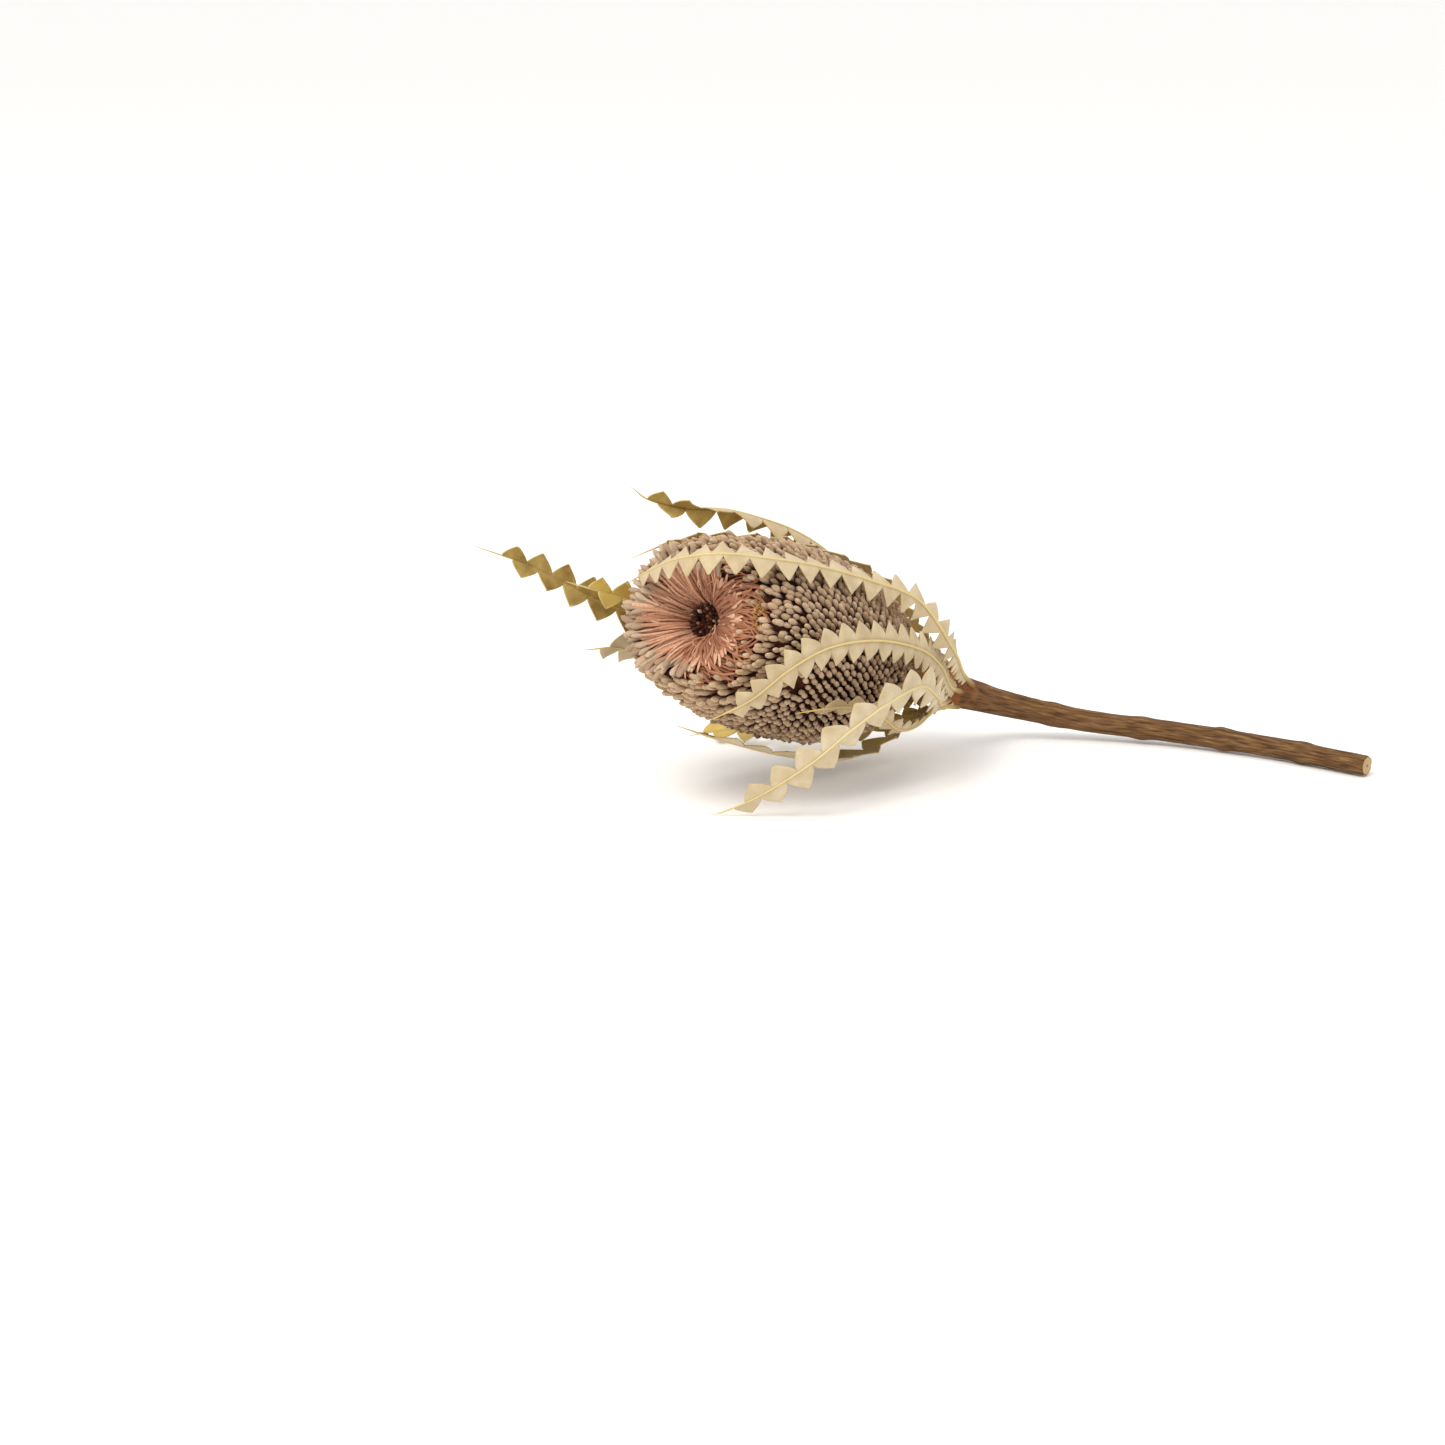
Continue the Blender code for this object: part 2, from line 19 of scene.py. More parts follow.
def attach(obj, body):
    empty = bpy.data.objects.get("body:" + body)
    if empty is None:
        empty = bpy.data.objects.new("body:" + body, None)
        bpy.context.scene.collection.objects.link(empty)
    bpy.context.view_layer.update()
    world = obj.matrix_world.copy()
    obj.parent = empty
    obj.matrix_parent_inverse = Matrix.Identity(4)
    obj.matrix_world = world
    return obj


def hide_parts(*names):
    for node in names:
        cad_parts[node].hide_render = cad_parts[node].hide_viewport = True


MM = 0.001
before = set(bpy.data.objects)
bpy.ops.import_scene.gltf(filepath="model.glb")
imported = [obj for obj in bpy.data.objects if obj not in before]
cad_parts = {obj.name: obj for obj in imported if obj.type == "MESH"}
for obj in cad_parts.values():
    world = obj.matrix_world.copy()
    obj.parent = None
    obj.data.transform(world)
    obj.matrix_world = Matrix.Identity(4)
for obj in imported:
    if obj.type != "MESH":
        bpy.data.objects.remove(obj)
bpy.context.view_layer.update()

# %% [markdown]
# ## Camera, floor and light
#
# The camera comes first, because every later choice is judged through it. A long lens from a low height
# keeps the spike's shape flat and calm. It looks along +Y and down by 15 degrees.

# %% Camera
CAMERA_ELEVATION = 15.0
CAMERA_DISTANCE = 1500.0
CAMERA_TARGET = Vector((-88.57, 46.49, 12.19))
LENS = 84.93
SENSOR_WIDTH = 36.0
FAR_CLIP = 20.0

lens = bpy.data.cameras.new("camera")
lens.lens = LENS
lens.sensor_width = SENSOR_WIDTH
lens.clip_end = FAR_CLIP
camera = bpy.data.objects.new("camera", lens)
bpy.context.scene.collection.objects.link(camera)
elevation = math.radians(CAMERA_ELEVATION)
back = Vector((0, -math.cos(elevation), math.sin(elevation)))
camera.location = MM * (CAMERA_TARGET + CAMERA_DISTANCE * back)
camera.rotation_euler = (math.pi / 2 - elevation, 0, 0)
bpy.context.scene.camera = camera
print("camera at", [round(v, 3) for v in camera.location])

# %% [markdown]
# A pale floor and a white world give even light from all sides, and the floor shows as plain white.

# %% Floor and world
FLOOR_SIZE = 30.0
FLOOR_DROP = 0.0005
FLOOR_COLOUR = (0.96, 0.955, 0.95, 1)
FLOOR_ROUGHNESS = 0.8
WORLD_COLOUR = (1.0, 0.99, 0.975, 1)
WORLD_STRENGTH = 1.02

bpy.ops.mesh.primitive_plane_add(size=FLOOR_SIZE, location=(0, 0, -FLOOR_DROP))
floor = bpy.context.object
floor.name = "floor"
floor_paint = bpy.data.materials.new("pale_floor")
floor_paint.use_nodes = True
floor_shader = floor_paint.node_tree.nodes["Principled BSDF"]
floor_shader.inputs["Base Color"].default_value = FLOOR_COLOUR
floor_shader.inputs["Roughness"].default_value = FLOOR_ROUGHNESS
floor.data.materials.append(floor_paint)

world = bpy.data.worlds.new("white_room")
world.use_nodes = True
world.node_tree.nodes["Background"].inputs["Color"].default_value = WORLD_COLOUR
world.node_tree.nodes["Background"].inputs["Strength"].default_value = WORLD_STRENGTH
bpy.context.scene.world = world
bpy.context.scene.view_settings.view_transform = "Standard"
print("floor:", floor.name, "world:", world.name)

# %% [markdown]
# One large lamp from the upper left is the main light. Its size keeps its shadows soft, and a weak second
# lamp lifts the right side.

# %% Lamps
LAMP_TARGET = (-0.05, 0, 0.05)


def lamp(name, place, size, watts, colour):
    """Square soft lamp that faces the spike. Places and size are in metres."""
    light = bpy.data.lights.new(name, "AREA")
    light.size = size
    light.energy = watts
    light.color = colour
    thing = bpy.data.objects.new(name, light)
    thing.location = place
    thing.rotation_euler = (Vector(LAMP_TARGET) - Vector(place)).to_track_quat("-Z", "Y").to_euler()
    bpy.context.scene.collection.objects.link(thing)
    print(f"{name}: {watts} W from a square of {size} m")


lamp("main_lamp", (-0.9, -0.8, 1.8), size=0.9, watts=24, colour=(1.0, 0.96, 0.9))
lamp("fill_lamp", (1.4, -1.3, 0.9), size=1.6, watts=4, colour=(0.95, 0.97, 1.0))

# %% [markdown]
# ## Places on the spike
#
# Everything on the spike is easier to say in its own terms: how far along its axis, at what angle round
# it from its upper side, and how far out. Two functions turn that into points, for whole arrays at once.
# The head's own function also lowers the rim of its hollow on the side where it is worn. Beyond a certain
# height the head is pressed down by a share, which is greatest in the middle of the worn side and fades to
# both sides of it.

# %% Directions and places
NECK = np.array([13.73, 50.19, 26.0])   # the middle of the neck
NECK_LENGTH = 40.0                      # from there to the lowest florets
HEADING = math.radians(38.0)            # the spike points to -X, turned this much to the front
TILT = math.radians(20.5)               # and rises this much towards its tip
AXIS = np.array([-math.cos(TILT) * math.cos(HEADING), -math.cos(TILT) * math.sin(HEADING), math.sin(TILT)])
UPPER = np.array([0.0, 0.0, 1.0]) - AXIS[2] * AXIS
UPPER /= np.linalg.norm(UPPER)
FRONT = np.cross(UPPER, AXIS)
BASE = NECK + NECK_LENGTH * AXIS
DIP_ANGLE = 92.0                        # the middle of the worn side
DIP_WIDTH = 105.0                       # the wear fades out this many degrees from it
DIP_START = 106.0                       # where along the axis the wear starts
DIP_SHARE = 0.75                        # how much of what lies beyond is pressed down


def outward(angle):
    """Directions away from the axis, at angles in degrees round it."""
    turn = np.radians(angle)[..., None]
    return np.cos(turn) * UPPER + np.sin(turn) * FRONT


def place(along, angle, out):
    """Points of the spike in millimetres."""
    along, angle, out = np.broadcast_arrays(*[np.asarray(v, float) for v in (along, angle, out)])
    return BASE + along[..., None] * AXIS + out[..., None] * outward(angle)


def off_dip(angle):
    """Degrees from the middle of the worn side."""
    return np.abs((np.asarray(angle, float) - DIP_ANGLE + 180) % 360 - 180)


def head_place(along, angle, out):
    """Points of the head, whose rim is worn down on one side of the tip."""
    share = DIP_SHARE * 0.5 * (1 + np.cos(math.pi * np.minimum(1.0, off_dip(angle) / DIP_WIDTH)))
    return place(along - share * np.maximum(0.0, along - DIP_START), angle, out)


def unit(vectors):
    """The same directions with length 1."""
    return vectors / np.linalg.norm(vectors, axis=-1, keepdims=True)


print("the spike's lowest florets are at", BASE.round(1))

# %% [markdown]
# ## Smooth routes
#
# Leaves, stem and the head's outline all follow smooth curves through a few chosen points. A route keeps
# such a curve finely sampled, with the distance travelled, so anything can be spaced evenly along it.


# %% Routes
class Route:
    """Smooth curve through points, read by the distance travelled along it."""

    def __init__(self, points, samples=240):
        # between b and c the curve leans on their neighbours a and d (a Catmull-Rom curve)
        p = np.asarray(points, float)
        spans = len(p) - 1
        p = np.vstack([2 * p[0] - p[1], p, 2 * p[-1] - p[-2]])
        x = np.linspace(0, spans, samples + 1)
        i = np.minimum(x.astype(int), spans - 1)
        t = (x - i)[:, None]
        a, b, c, d = p[i], p[i + 1], p[i + 2], p[i + 3]
        bend = (2 * a - 5 * b + 4 * c - d) * t ** 2 + (3 * b - 3 * c + d - a) * t ** 3
        self.line = 0.5 * (2 * b + (c - a) * t + bend)
        steps = np.linalg.norm(np.diff(self.line[:, :3], axis=0), axis=1)
        self.travelled = np.concatenate([[0.0], np.cumsum(steps)])
        self.length = self.travelled[-1]

    def at(self, distance):
        """Points of the curve, with any further columns, at one distance or many."""
        return np.stack([np.interp(distance, self.travelled, column) for column in self.line.T], -1)


# (along, out) of the ends of the florets
HEAD_PROFILE = [(0, 12.5), (4, 20), (12, 27.5), (26, 35), (46, 40), (66, 41.3), (84, 40.6),
                (101, 37.8), (114, 34.3), (123.5, 30.6), (129, 26.3)]
head_outline = Route(HEAD_PROFILE, 400)
print("outline of the head, from neck to tip:", round(head_outline.length, 1), "mm")

# %% [markdown]
# ## Making meshes
#
# One function turns points and faces into an object. It can also keep values at the points, called
# marks here, such as how far along a floret a point is. A finish reads them to place its colours.


# %% Objects
def make_object(name, points, faces, finishes, face_finish=None, lowest=0.0, **marks):
    """Mesh object from points in millimetres, riding on the solids' one body."""
    points = np.asarray(points, float).reshape(-1, 3)
    points[:, 2] = np.maximum(points[:, 2], lowest)
    mesh = bpy.data.meshes.new(name)
    mesh.from_pydata((points * MM).tolist(), [], faces)
    for finish in finishes:
        mesh.materials.append(finish)
    if face_finish is not None:
        mesh.polygons.foreach_set("material_index", face_finish)
    mesh.polygons.foreach_set("use_smooth", [True] * len(mesh.polygons))
    for mark, values in marks.items():
        kept = mesh.attributes.new(mark, "FLOAT", "POINT")
        kept.data.foreach_set("value", np.asarray(values, np.float32).ravel())
    mesh.update()
    thing = bpy.data.objects.new(name, mesh)
    bpy.context.scene.collection.objects.link(thing)
    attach(thing, "root")
    triangles = sum(len(face) - 2 for face in faces)
    print(f"{name}: {triangles} triangles")
    return thing


print("objects will ride on the one body of the solids")

# %% [markdown]
# Tubes, florets and fibres are all lofts: a stack of rings round a line. Arrays make thousands at once,
# which is far quicker than one object at a time.


# %% Lofts
def rings_round(lines, radii, sides, reference, squash=1.0):
    """Rings of points round lines: (count, stations, 3) in, (count, stations, sides, 3) out."""
    ahead = unit(np.gradient(lines, axis=1))
    across = unit(reference - (reference * ahead).sum(-1, keepdims=True) * ahead)
    up = np.cross(ahead, across)
    turn = np.arange(sides) * 2 * math.pi / sides
    ring = np.cos(turn)[:, None] * across[..., None, :] + squash * np.sin(turn)[:, None] * up[..., None, :]
    return lines[..., None, :] + np.asarray(radii)[..., None, None] * ring


def loft_faces(count, stations, sides):
    """Faces of closed skins over stacks of rings, with both ends filled."""
    ring = np.arange(sides)
    following = (ring + 1) % sides
    low = (np.arange(stations - 1) * sides)[:, None]
    quads = np.stack([low + ring, low + following, low + sides + following, low + sides + ring], -1)
    starts = np.arange(count) * stations * sides
    walls = (starts[:, None, None] + quads.reshape(1, -1, 4)).reshape(-1, 4)
    last = (stations - 1) * sides
    return walls.tolist() + (starts[:, None] + ring[::-1]).tolist() + (starts[:, None] + last + ring).tolist()


def spread(values, shape):
    """One value for each point of a stack of rings."""
    return np.broadcast_to(values, shape).ravel()


print("faces of a tube with 3 rings of 8 points:", len(loft_faces(1, 3, 8)))

# %% [markdown]
# ## Finishes
#
# Colours are given as a screen shows them, from 0 to 255, and are turned into the linear values that
# light works with. The white room and the lamp together are brighter than 1, so the paint is made darker
# by that much.

# %% Paint
LIGHT = 1.25                # how bright the light is on a surface that faces the main lamp


def paint(red, green, blue):
    """Linear colour that shows as these display values where the light falls fully on it."""
    shown = np.array([red, green, blue]) / 255
    linear = np.where(shown <= 0.04045, shown / 12.92, ((shown + 0.055) / 1.055) ** 2.4)
    return (*(linear / LIGHT).tolist(), 1.0)


print("a mid grey of 128 is", round(paint(128, 128, 128)[0], 3), "in linear light")

# %% [markdown]
# Each finish is a small tree of nodes. A few short methods add noise, colour ramps, mixes and fine
# relief, so that each finish below reads as a recipe.

# %% Helpers for finishes
SHINE = 0.25                # dry plants reflect little
MIX_SHARE, MIX_FIRST, MIX_SECOND = 0, 6, 7      # inputs of the Mix node when it mixes colours
MIX_RESULT = 2


class Finish:
    """A surface and short ways to add to it."""

    def __init__(self, name, roughness, sheen=0.0):
        self.surface = bpy.data.materials.new(name)
        self.surface.use_nodes = True
        self.tree = self.surface.node_tree
        self.shader = self.tree.nodes["Principled BSDF"]
        self.shader.inputs["Roughness"].default_value = roughness
        self.shader.inputs["Specular IOR Level"].default_value = SHINE
        self.shader.inputs["Sheen Weight"].default_value = sheen
        self.place = self.tree.nodes.new("ShaderNodeTexCoord").outputs["Object"]

    def connect(self, value, socket):
        """A plain number or colour is set on the socket, and anything else is linked to it."""
        if isinstance(value, (float, tuple)):
            socket.default_value = value
        else:
            self.tree.links.new(value, socket)

    def mark(self, name):
        """The values that a piece keeps at its points under that name."""
        node = self.tree.nodes.new("ShaderNodeAttribute")
        node.attribute_name = name
        return node.outputs["Fac"]

    def grain(self, size, detail=3.0, warp=0.0):
        """Noise whose lumps are about that many millimetres wide."""
        node = self.tree.nodes.new("ShaderNodeTexNoise")
        node.inputs["Scale"].default_value = 1 / (size * MM)
        node.inputs["Detail"].default_value = detail
        node.inputs["Distortion"].default_value = warp
        self.connect(self.place, node.inputs["Vector"])
        return node.outputs["Fac"]

    def ramp(self, value, stops):
        """Colours, or plain numbers, at positions from 0 to 1."""
        node = self.tree.nodes.new("ShaderNodeValToRGB")
        while len(node.color_ramp.elements) < len(stops):
            node.color_ramp.elements.new(0.5)
        for element, (position, colour) in zip(node.color_ramp.elements, stops):
            element.position = position
            element.color = colour if isinstance(colour, tuple) else (colour, colour, colour, 1)
        self.connect(value, node.inputs["Fac"])
        return node.outputs["Color"]

    def mix(self, share, first, second):
        """The second colour over the first, by that share."""
        node = self.tree.nodes.new("ShaderNodeMix")
        node.data_type = "RGBA"
        self.connect(share, node.inputs[MIX_SHARE])
        self.connect(first, node.inputs[MIX_FIRST])
        self.connect(second, node.inputs[MIX_SECOND])
        return node.outputs[MIX_RESULT]

    def calculate(self, operation, *values):
        """A Math node on one or two values."""
        node = self.tree.nodes.new("ShaderNodeMath")
        node.operation = operation
        for socket, value in zip(node.inputs, values):
            self.connect(value, socket)
        return node.outputs["Value"]

    def colour(self, value):
        """What the whole finish shows."""
        self.connect(value, self.shader.inputs["Base Color"])

    def relief(self, height, depth, strength=0.6):
        """Fine unevenness, that deep in millimetres."""
        node = self.tree.nodes.new("ShaderNodeBump")
        node.inputs["Distance"].default_value = depth * MM
        node.inputs["Strength"].default_value = strength
        self.connect(height, node.inputs["Height"])
        self.connect(node.outputs["Normal"], self.shader.inputs["Normal"])


print("a finish can use:", [name for name in vars(Finish) if not name.startswith("_")])

# %% [markdown]
# ## The florets
#
# The florets stand in rows that wind round the spike, each row half a step behind its neighbours. The
# rows keep their number from neck to rim, so at the neck they draw together and the florets are thin.
# Near the tip the knobs are larger, stand further apart and lie almost flat towards the tip.
#
# A floret is a loft of eight rings. Three shapes, for the neck, the middle and the tip, are mixed by the
# place, so all florets share one list of faces.

# %% Shapes of a floret
# height from the head's outline, lean along the row and radius, ring by ring from root to end
NECK_FLORET = [(-4.4, -3.0, 0.42), (-3.3, -2.2, 0.42), (-2.5, -1.5, 0.50), (-1.9, -0.9, 0.68),
               (-1.2, -0.2, 0.80), (-0.6, 0.4, 0.68), (-0.25, 0.8, 0.45), (-0.1, 1.0, 0.15)]
MIDDLE_FLORET = [(-6.6, -6.6, 0.50), (-5.0, -4.9, 0.48), (-3.7, -3.3, 0.54), (-2.8, -2.0, 0.90),
                 (-1.8, -0.6, 1.12), (-1.0, 0.8, 1.04), (-0.55, 1.6, 0.70), (-0.4, 1.9, 0.24)]
TIP_FLORET = [(-8.8, -9.4, 0.48), (-6.8, -6.8, 0.46), (-5.1, -4.5, 0.50), (-3.9, -2.9, 0.88),
              (-2.7, -1.1, 1.26), (-1.7, 0.6, 1.24), (-1.1, 1.8, 0.82), (-0.9, 2.3, 0.26)]
FLORET_REACH = np.array([0.0, 0.2, 0.38, 0.5, 0.64, 0.8, 0.92, 1.0])    # of the way from root to end
print("rings in a floret:", len(FLORET_REACH))

# %% [markdown]
# Each row is walked from the neck to the rim, and a floret is set down at every step. Every second row
# ends a few millimetres early, because there is no room for its last floret. Slow waves make the rows
# wander a little, and then every floret is moved off its row by a small random amount.

# %% Rows of florets
SEED = 7
FLORET_ROWS = 68
TWIST = -112.0              # degrees that a row winds from neck to rim
FIRST_FLORET = 0.8          # from the ends of the outline
SHORT_ROW_END = 138.0
# distances along the head's outline, and the steps to the next floret there
ROW_STEPS = ([0, 25, 60, 100, 125, 150], [2.0, 2.4, 2.75, 3.1, 3.9, 4.4])
WANDER = 3.0                # degrees
WANDER_LENGTH = 30.0        # millimetres of a wave
WANDER_ROWS = 9             # rows that one wave is wide
NOISE_SLICE = 3.7           # any other value gives other waves
# distances along the head's outline, and the random shifts there, in millimetres
LOOSENESS = ([0, 90, 125], [0.16, 0.2, 0.6])
ANGLE_LOOSENESS = 1.5       # degrees for a millimetre
OUTLINE_MARGIN = 0.3

rng = np.random.default_rng(SEED)
travelled, angles = [], []
for row in range(FLORET_ROWS):
    distance = FIRST_FLORET + 0.5 * np.interp(0, *ROW_STEPS) * (row % 2)
    end = head_outline.length - FIRST_FLORET if row % 2 == 0 else SHORT_ROW_END
    while distance < end:
        travelled.append(distance)
        wave = noise.noise(Vector((distance / WANDER_LENGTH, row / WANDER_ROWS, NOISE_SLICE)))
        angles.append(360 * row / FLORET_ROWS + TWIST * distance / head_outline.length + WANDER * wave)
        distance += np.interp(distance, *ROW_STEPS)
travelled = np.array(travelled)
loose = np.interp(travelled, *LOOSENESS)
travelled = np.clip(travelled + loose * rng.normal(0, 1, len(travelled)),
                    OUTLINE_MARGIN, head_outline.length - OUTLINE_MARGIN)
angles = np.array(angles) + ANGLE_LOOSENESS * loose * rng.normal(0, 1, len(angles))
print("florets in full rows:", len(travelled))

# %% [markdown]
# Most florets are missing on the worn side of the rim, so their share is taken away at random, more of it
# towards the rim. A few small patches elsewhere have lost florets too.

# %% Bare places
BARE_START = 112.0          # along the head's outline
BARE_RISE = 16.0            # the loss would be full this much further on
MOST_BARE = 0.86            # but never more than this share is lost
BARE_SPREAD = 58.0          # degrees to each side of the worn side's middle
BARE_FADE = 18.0
# along, angle, radius of the patch in millimetres and share of the florets lost
BARE_PATCHES = [(82, 115, 4.0, 0.8), (87, 98, 3.6, 0.7), (67, 86, 3.5, 0.8), (40, -140, 8.0, 0.5)]
PATCH_OUT = 40.0

along, out = head_outline.at(travelled).T
lost = np.clip((travelled - BARE_START) / BARE_RISE, 0, MOST_BARE)
lost = lost * np.clip((BARE_SPREAD - off_dip(angles)) / BARE_FADE, 0, 1)
kept = rng.random(len(along)) > lost
for patch_along, patch_angle, reach, share in BARE_PATCHES:
    apart = np.linalg.norm(place(along, angles, out) - place(patch_along, patch_angle, PATCH_OUT), axis=1)
    kept &= ~((apart < reach) & (rng.random(len(along)) < share))
travelled, angles = travelled[kept], angles[kept]
print("florets:", len(travelled))

# %% [markdown]
# Each floret gets its own small differences: it sways to one side, stands a little high or low, and is
# a little larger or smaller. The draws are seeded, so the head is the same every time. On the middle of
# the head all knobs also lean to one side of their row, which closes the gaps between the rows.


# %% Florets as lofts
FLORET_SIDES = 8
NECK_SHAPE_END = 32.0       # along the head's outline
NECK_SHAPE_FADE = 26.0
TIP_SHAPE_START = 84.0
TIP_SHAPE_FADE = 24.0
SIDE_LEAN = (0.42, -0.1)    # on the middle of the head, and near the tip
TIP_WILDNESS = 1.4          # how much more the florets differ near the tip
FLORET_SIZES = (0.86, 1.12)
RAISED = 0.4                # spreads of the small differences, in millimetres
SWAY = 0.36
NOD = 0.35


def floret_rings(travelled, angles, rng):
    """Ring points of florets at distances along the head's outline and angles round it."""
    along, out = head_outline.at(travelled).T
    step = unit(head_outline.at(travelled + 0.5) - head_outline.at(travelled - 0.5))
    radial = outward(angles)
    tipward = step[:, :1] * AXIS + step[:, 1:] * radial
    normal = -step[:, 1:] * AXIS + step[:, :1] * radial
    side = np.cross(normal, tipward)
    neck_share = np.clip((NECK_SHAPE_END - travelled) / NECK_SHAPE_FADE, 0, 1)
    tip_share = np.clip((travelled - TIP_SHAPE_START) / TIP_SHAPE_FADE, 0, 1)
    side_lean = SIDE_LEAN[0] + (SIDE_LEAN[1] - SIDE_LEAN[0]) * tip_share
    ahead = unit(tipward - side_lean[:, None] * side)
    shares = (neck_share, 1 - neck_share - tip_share, tip_share)
    shapes = [np.array(shape) for shape in (NECK_FLORET, MIDDLE_FLORET, TIP_FLORET)]
    shape = sum(share[:, None, None] * own for share, own in zip(shares, shapes))
    count = len(travelled)
    wild = (1 + TIP_WILDNESS * tip_share)[:, None]
    size = rng.uniform(*FLORET_SIZES, count)[:, None]
    raised = rng.normal(0, RAISED, count)[:, None] * wild
    height, lean, radius = shape[..., 0], shape[..., 1] * size, shape[..., 2] * size
    risen = 1 - height / height[:, :1]
    sway = rng.normal(0, SWAY, count)[:, None] * risen * wild
    nod = rng.normal(0, NOD, count)[:, None] * risen * wild
    lines = head_place(along, angles, out)[:, None] + (height + raised * risen)[..., None] * normal[:, None]
    lines = lines + (lean + nod)[..., None] * ahead[:, None] + sway[..., None] * side[:, None]
    turn = rng.uniform(0, 2 * math.pi, count)[:, None]
    reference = np.cos(turn) * side + np.sin(turn) * np.cross(ahead, side)
    return rings_round(lines, radius, FLORET_SIDES, reference[:, None])


def add_florets(name, travelled, angles, finish, rng):
    """One piece with the florets at these places."""
    rings = floret_rings(travelled, angles, rng)
    count, stations, sides, _ = rings.shape
    shape = rings.shape[:3]
    tone = rng.random(count)[:, None, None]
    zone = (travelled / head_outline.length)[:, None, None]
    return make_object(name, rings, loft_faces(count, stations, sides), [finish],
                       reach=spread(FLORET_REACH[None, :, None], shape), tone=spread(tone, shape),
                       zone=spread(zone, shape))


print("points in a floret:", FLORET_SIDES * len(FLORET_REACH))

# %% [markdown]
# The wool on the knobs is a pale warm grey, browner near the neck, and pinker where the knob narrows into
# its tube. The tubes are dark red brown, and warm pink near the tip. The marks say where on the floret
# and where on the head a point is, and a random tone per floret keeps neighbours from looking the same.

# %% Woolly floret finish
wool = Finish("floret_wool", 0.92, sheen=0.2)
knob = wool.ramp(wool.mark("zone"), [(0.0, paint(138, 100, 64)), (0.14, paint(174, 140, 102)),
                                     (0.4, paint(202, 172, 140)), (0.7, paint(216, 186, 150)),
                                     (0.85, paint(228, 196, 156))])
knob_tone = wool.ramp(wool.mark("tone"), [(0.0, paint(154, 118, 84)), (0.5, paint(200, 168, 134)),
                                          (1.0, paint(230, 204, 172))])
speckles = wool.ramp(wool.grain(0.8, 4.0), [(0.4, 0.0), (0.7, 0.55)])
speckled = wool.mix(speckles, wool.mix(0.5, knob, knob_tone), paint(160, 122, 86))
stalk = wool.mix(wool.mark("zone"), paint(84, 40, 22), paint(178, 112, 82))
stalk_tone = wool.ramp(wool.mark("tone"), [(0.0, paint(70, 30, 16)), (1.0, paint(164, 108, 80))])
stalk = wool.mix(0.4, stalk, stalk_tone)
blush = wool.mix(wool.ramp(wool.mark("reach"), [(0.46, 1.0), (0.66, 0.0)]), speckled, paint(172, 126, 98))
wool.colour(wool.mix(wool.ramp(wool.mark("reach"), [(0.34, 0.0), (0.48, 1.0)]), stalk, blush))
wool.relief(wool.grain(0.28, 4.0), 0.25, 0.7)
print("finish:", wool.surface.name)

# %% [markdown]
# The florets are made in three pieces, from neck to tip, because one mesh of all of them would be too
# heavy to handle. Together they take the place of the head's solid.

# %% Three pieces of florets
# from and to, along the head's outline
FLORET_BANDS = {"florets_neck": (0, 48), "florets_middle": (48, 92), "florets_tip": (92, 200)}
for band, (first, last) in FLORET_BANDS.items():
    here = (travelled >= first) & (travelled < last)
    add_florets(band, travelled[here], angles[here], wool.surface, rng)
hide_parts("flower_head")

# %% [markdown]
# ## The core under the florets
#
# Between the florets the eye falls on a dark red brown ground. It is one turned skin: a profile carried
# round the axis. It follows the outline a floret's depth below it and dips into the hollow at the tip.

# %% Turned skins
LUMP_WIDTH = 3.0


def turned_skin(profile, sides, rough=0.0):
    """Points and faces of a closed turned shape, whose profile starts and ends near the axis."""
    rings = []
    for along, out in profile:
        ring = head_place(along, 360 * np.arange(sides) / sides, out)
        for k, point in enumerate(ring):
            lump = rough * noise.noise(Vector(point / LUMP_WIDTH))
            ring[k] = point + lump * outward(np.array(360.0 * k / sides))
        rings.append(ring)
    return np.array(rings)[None], loft_faces(1, len(profile), sides)


print("points in a turned skin of 5 rings:", turned_skin([(0, 1)] * 5, 12)[0].size // 3)

# %% [markdown]
# The profile is thin at the neck, where the florets are short, and its last points form the rim, the wall
# and the floor of the hollow.

# %% Core
CORE_DEPTH = 5.6
NECK_DEPTH_SHARE = 0.55     # of that depth, at the neck
DEPTH_GROWTH = 3.0
CORE_SIDES = 96
CORE_RINGS = 34
CORE_LAST = 0.93            # share of the outline that the core follows
CORE_FOOT = (-0.4, 4.0)
LEAST_OUT = 5.0
CORE_RIM = (121.0, 24.6)
HOLLOW_EDGE = (117.5, 22.3)
HOLLOW_WALL = (112.0, 15.2)
HOLLOW_FOOT = (106.3, 7.9)
HOLLOW_FLOOR = 105.3

core_profile = [CORE_FOOT]
for share in np.linspace(0.0, CORE_LAST, CORE_RINGS):
    along_here, out_here = head_outline.at(share * head_outline.length)
    ahead = unit(head_outline.at(share * head_outline.length + 0.5)
                 - head_outline.at(share * head_outline.length - 0.5))
    depth = CORE_DEPTH * min(1.0, NECK_DEPTH_SHARE + DEPTH_GROWTH * share)
    core_profile.append((max(CORE_FOOT[0], along_here + depth * ahead[1]),
                         max(LEAST_OUT, out_here - depth * ahead[0])))
core_profile += [CORE_RIM, HOLLOW_EDGE, HOLLOW_WALL, HOLLOW_FOOT, (HOLLOW_FLOOR, 6.8), (HOLLOW_FLOOR, 0.5)]

ground = Finish("core_bark", 0.95)
ground.colour(ground.ramp(ground.grain(2.4, 4.0), [(0.3, paint(70, 34, 20)), (0.55, paint(106, 60, 38)),
                                                  (0.75, paint(140, 88, 60))]))
ground.relief(ground.grain(0.7, 3.0), 0.4)
core_points, core_faces = turned_skin(core_profile, CORE_SIDES, 0.5)
core = make_object("head_core", core_points, core_faces, [ground.surface])

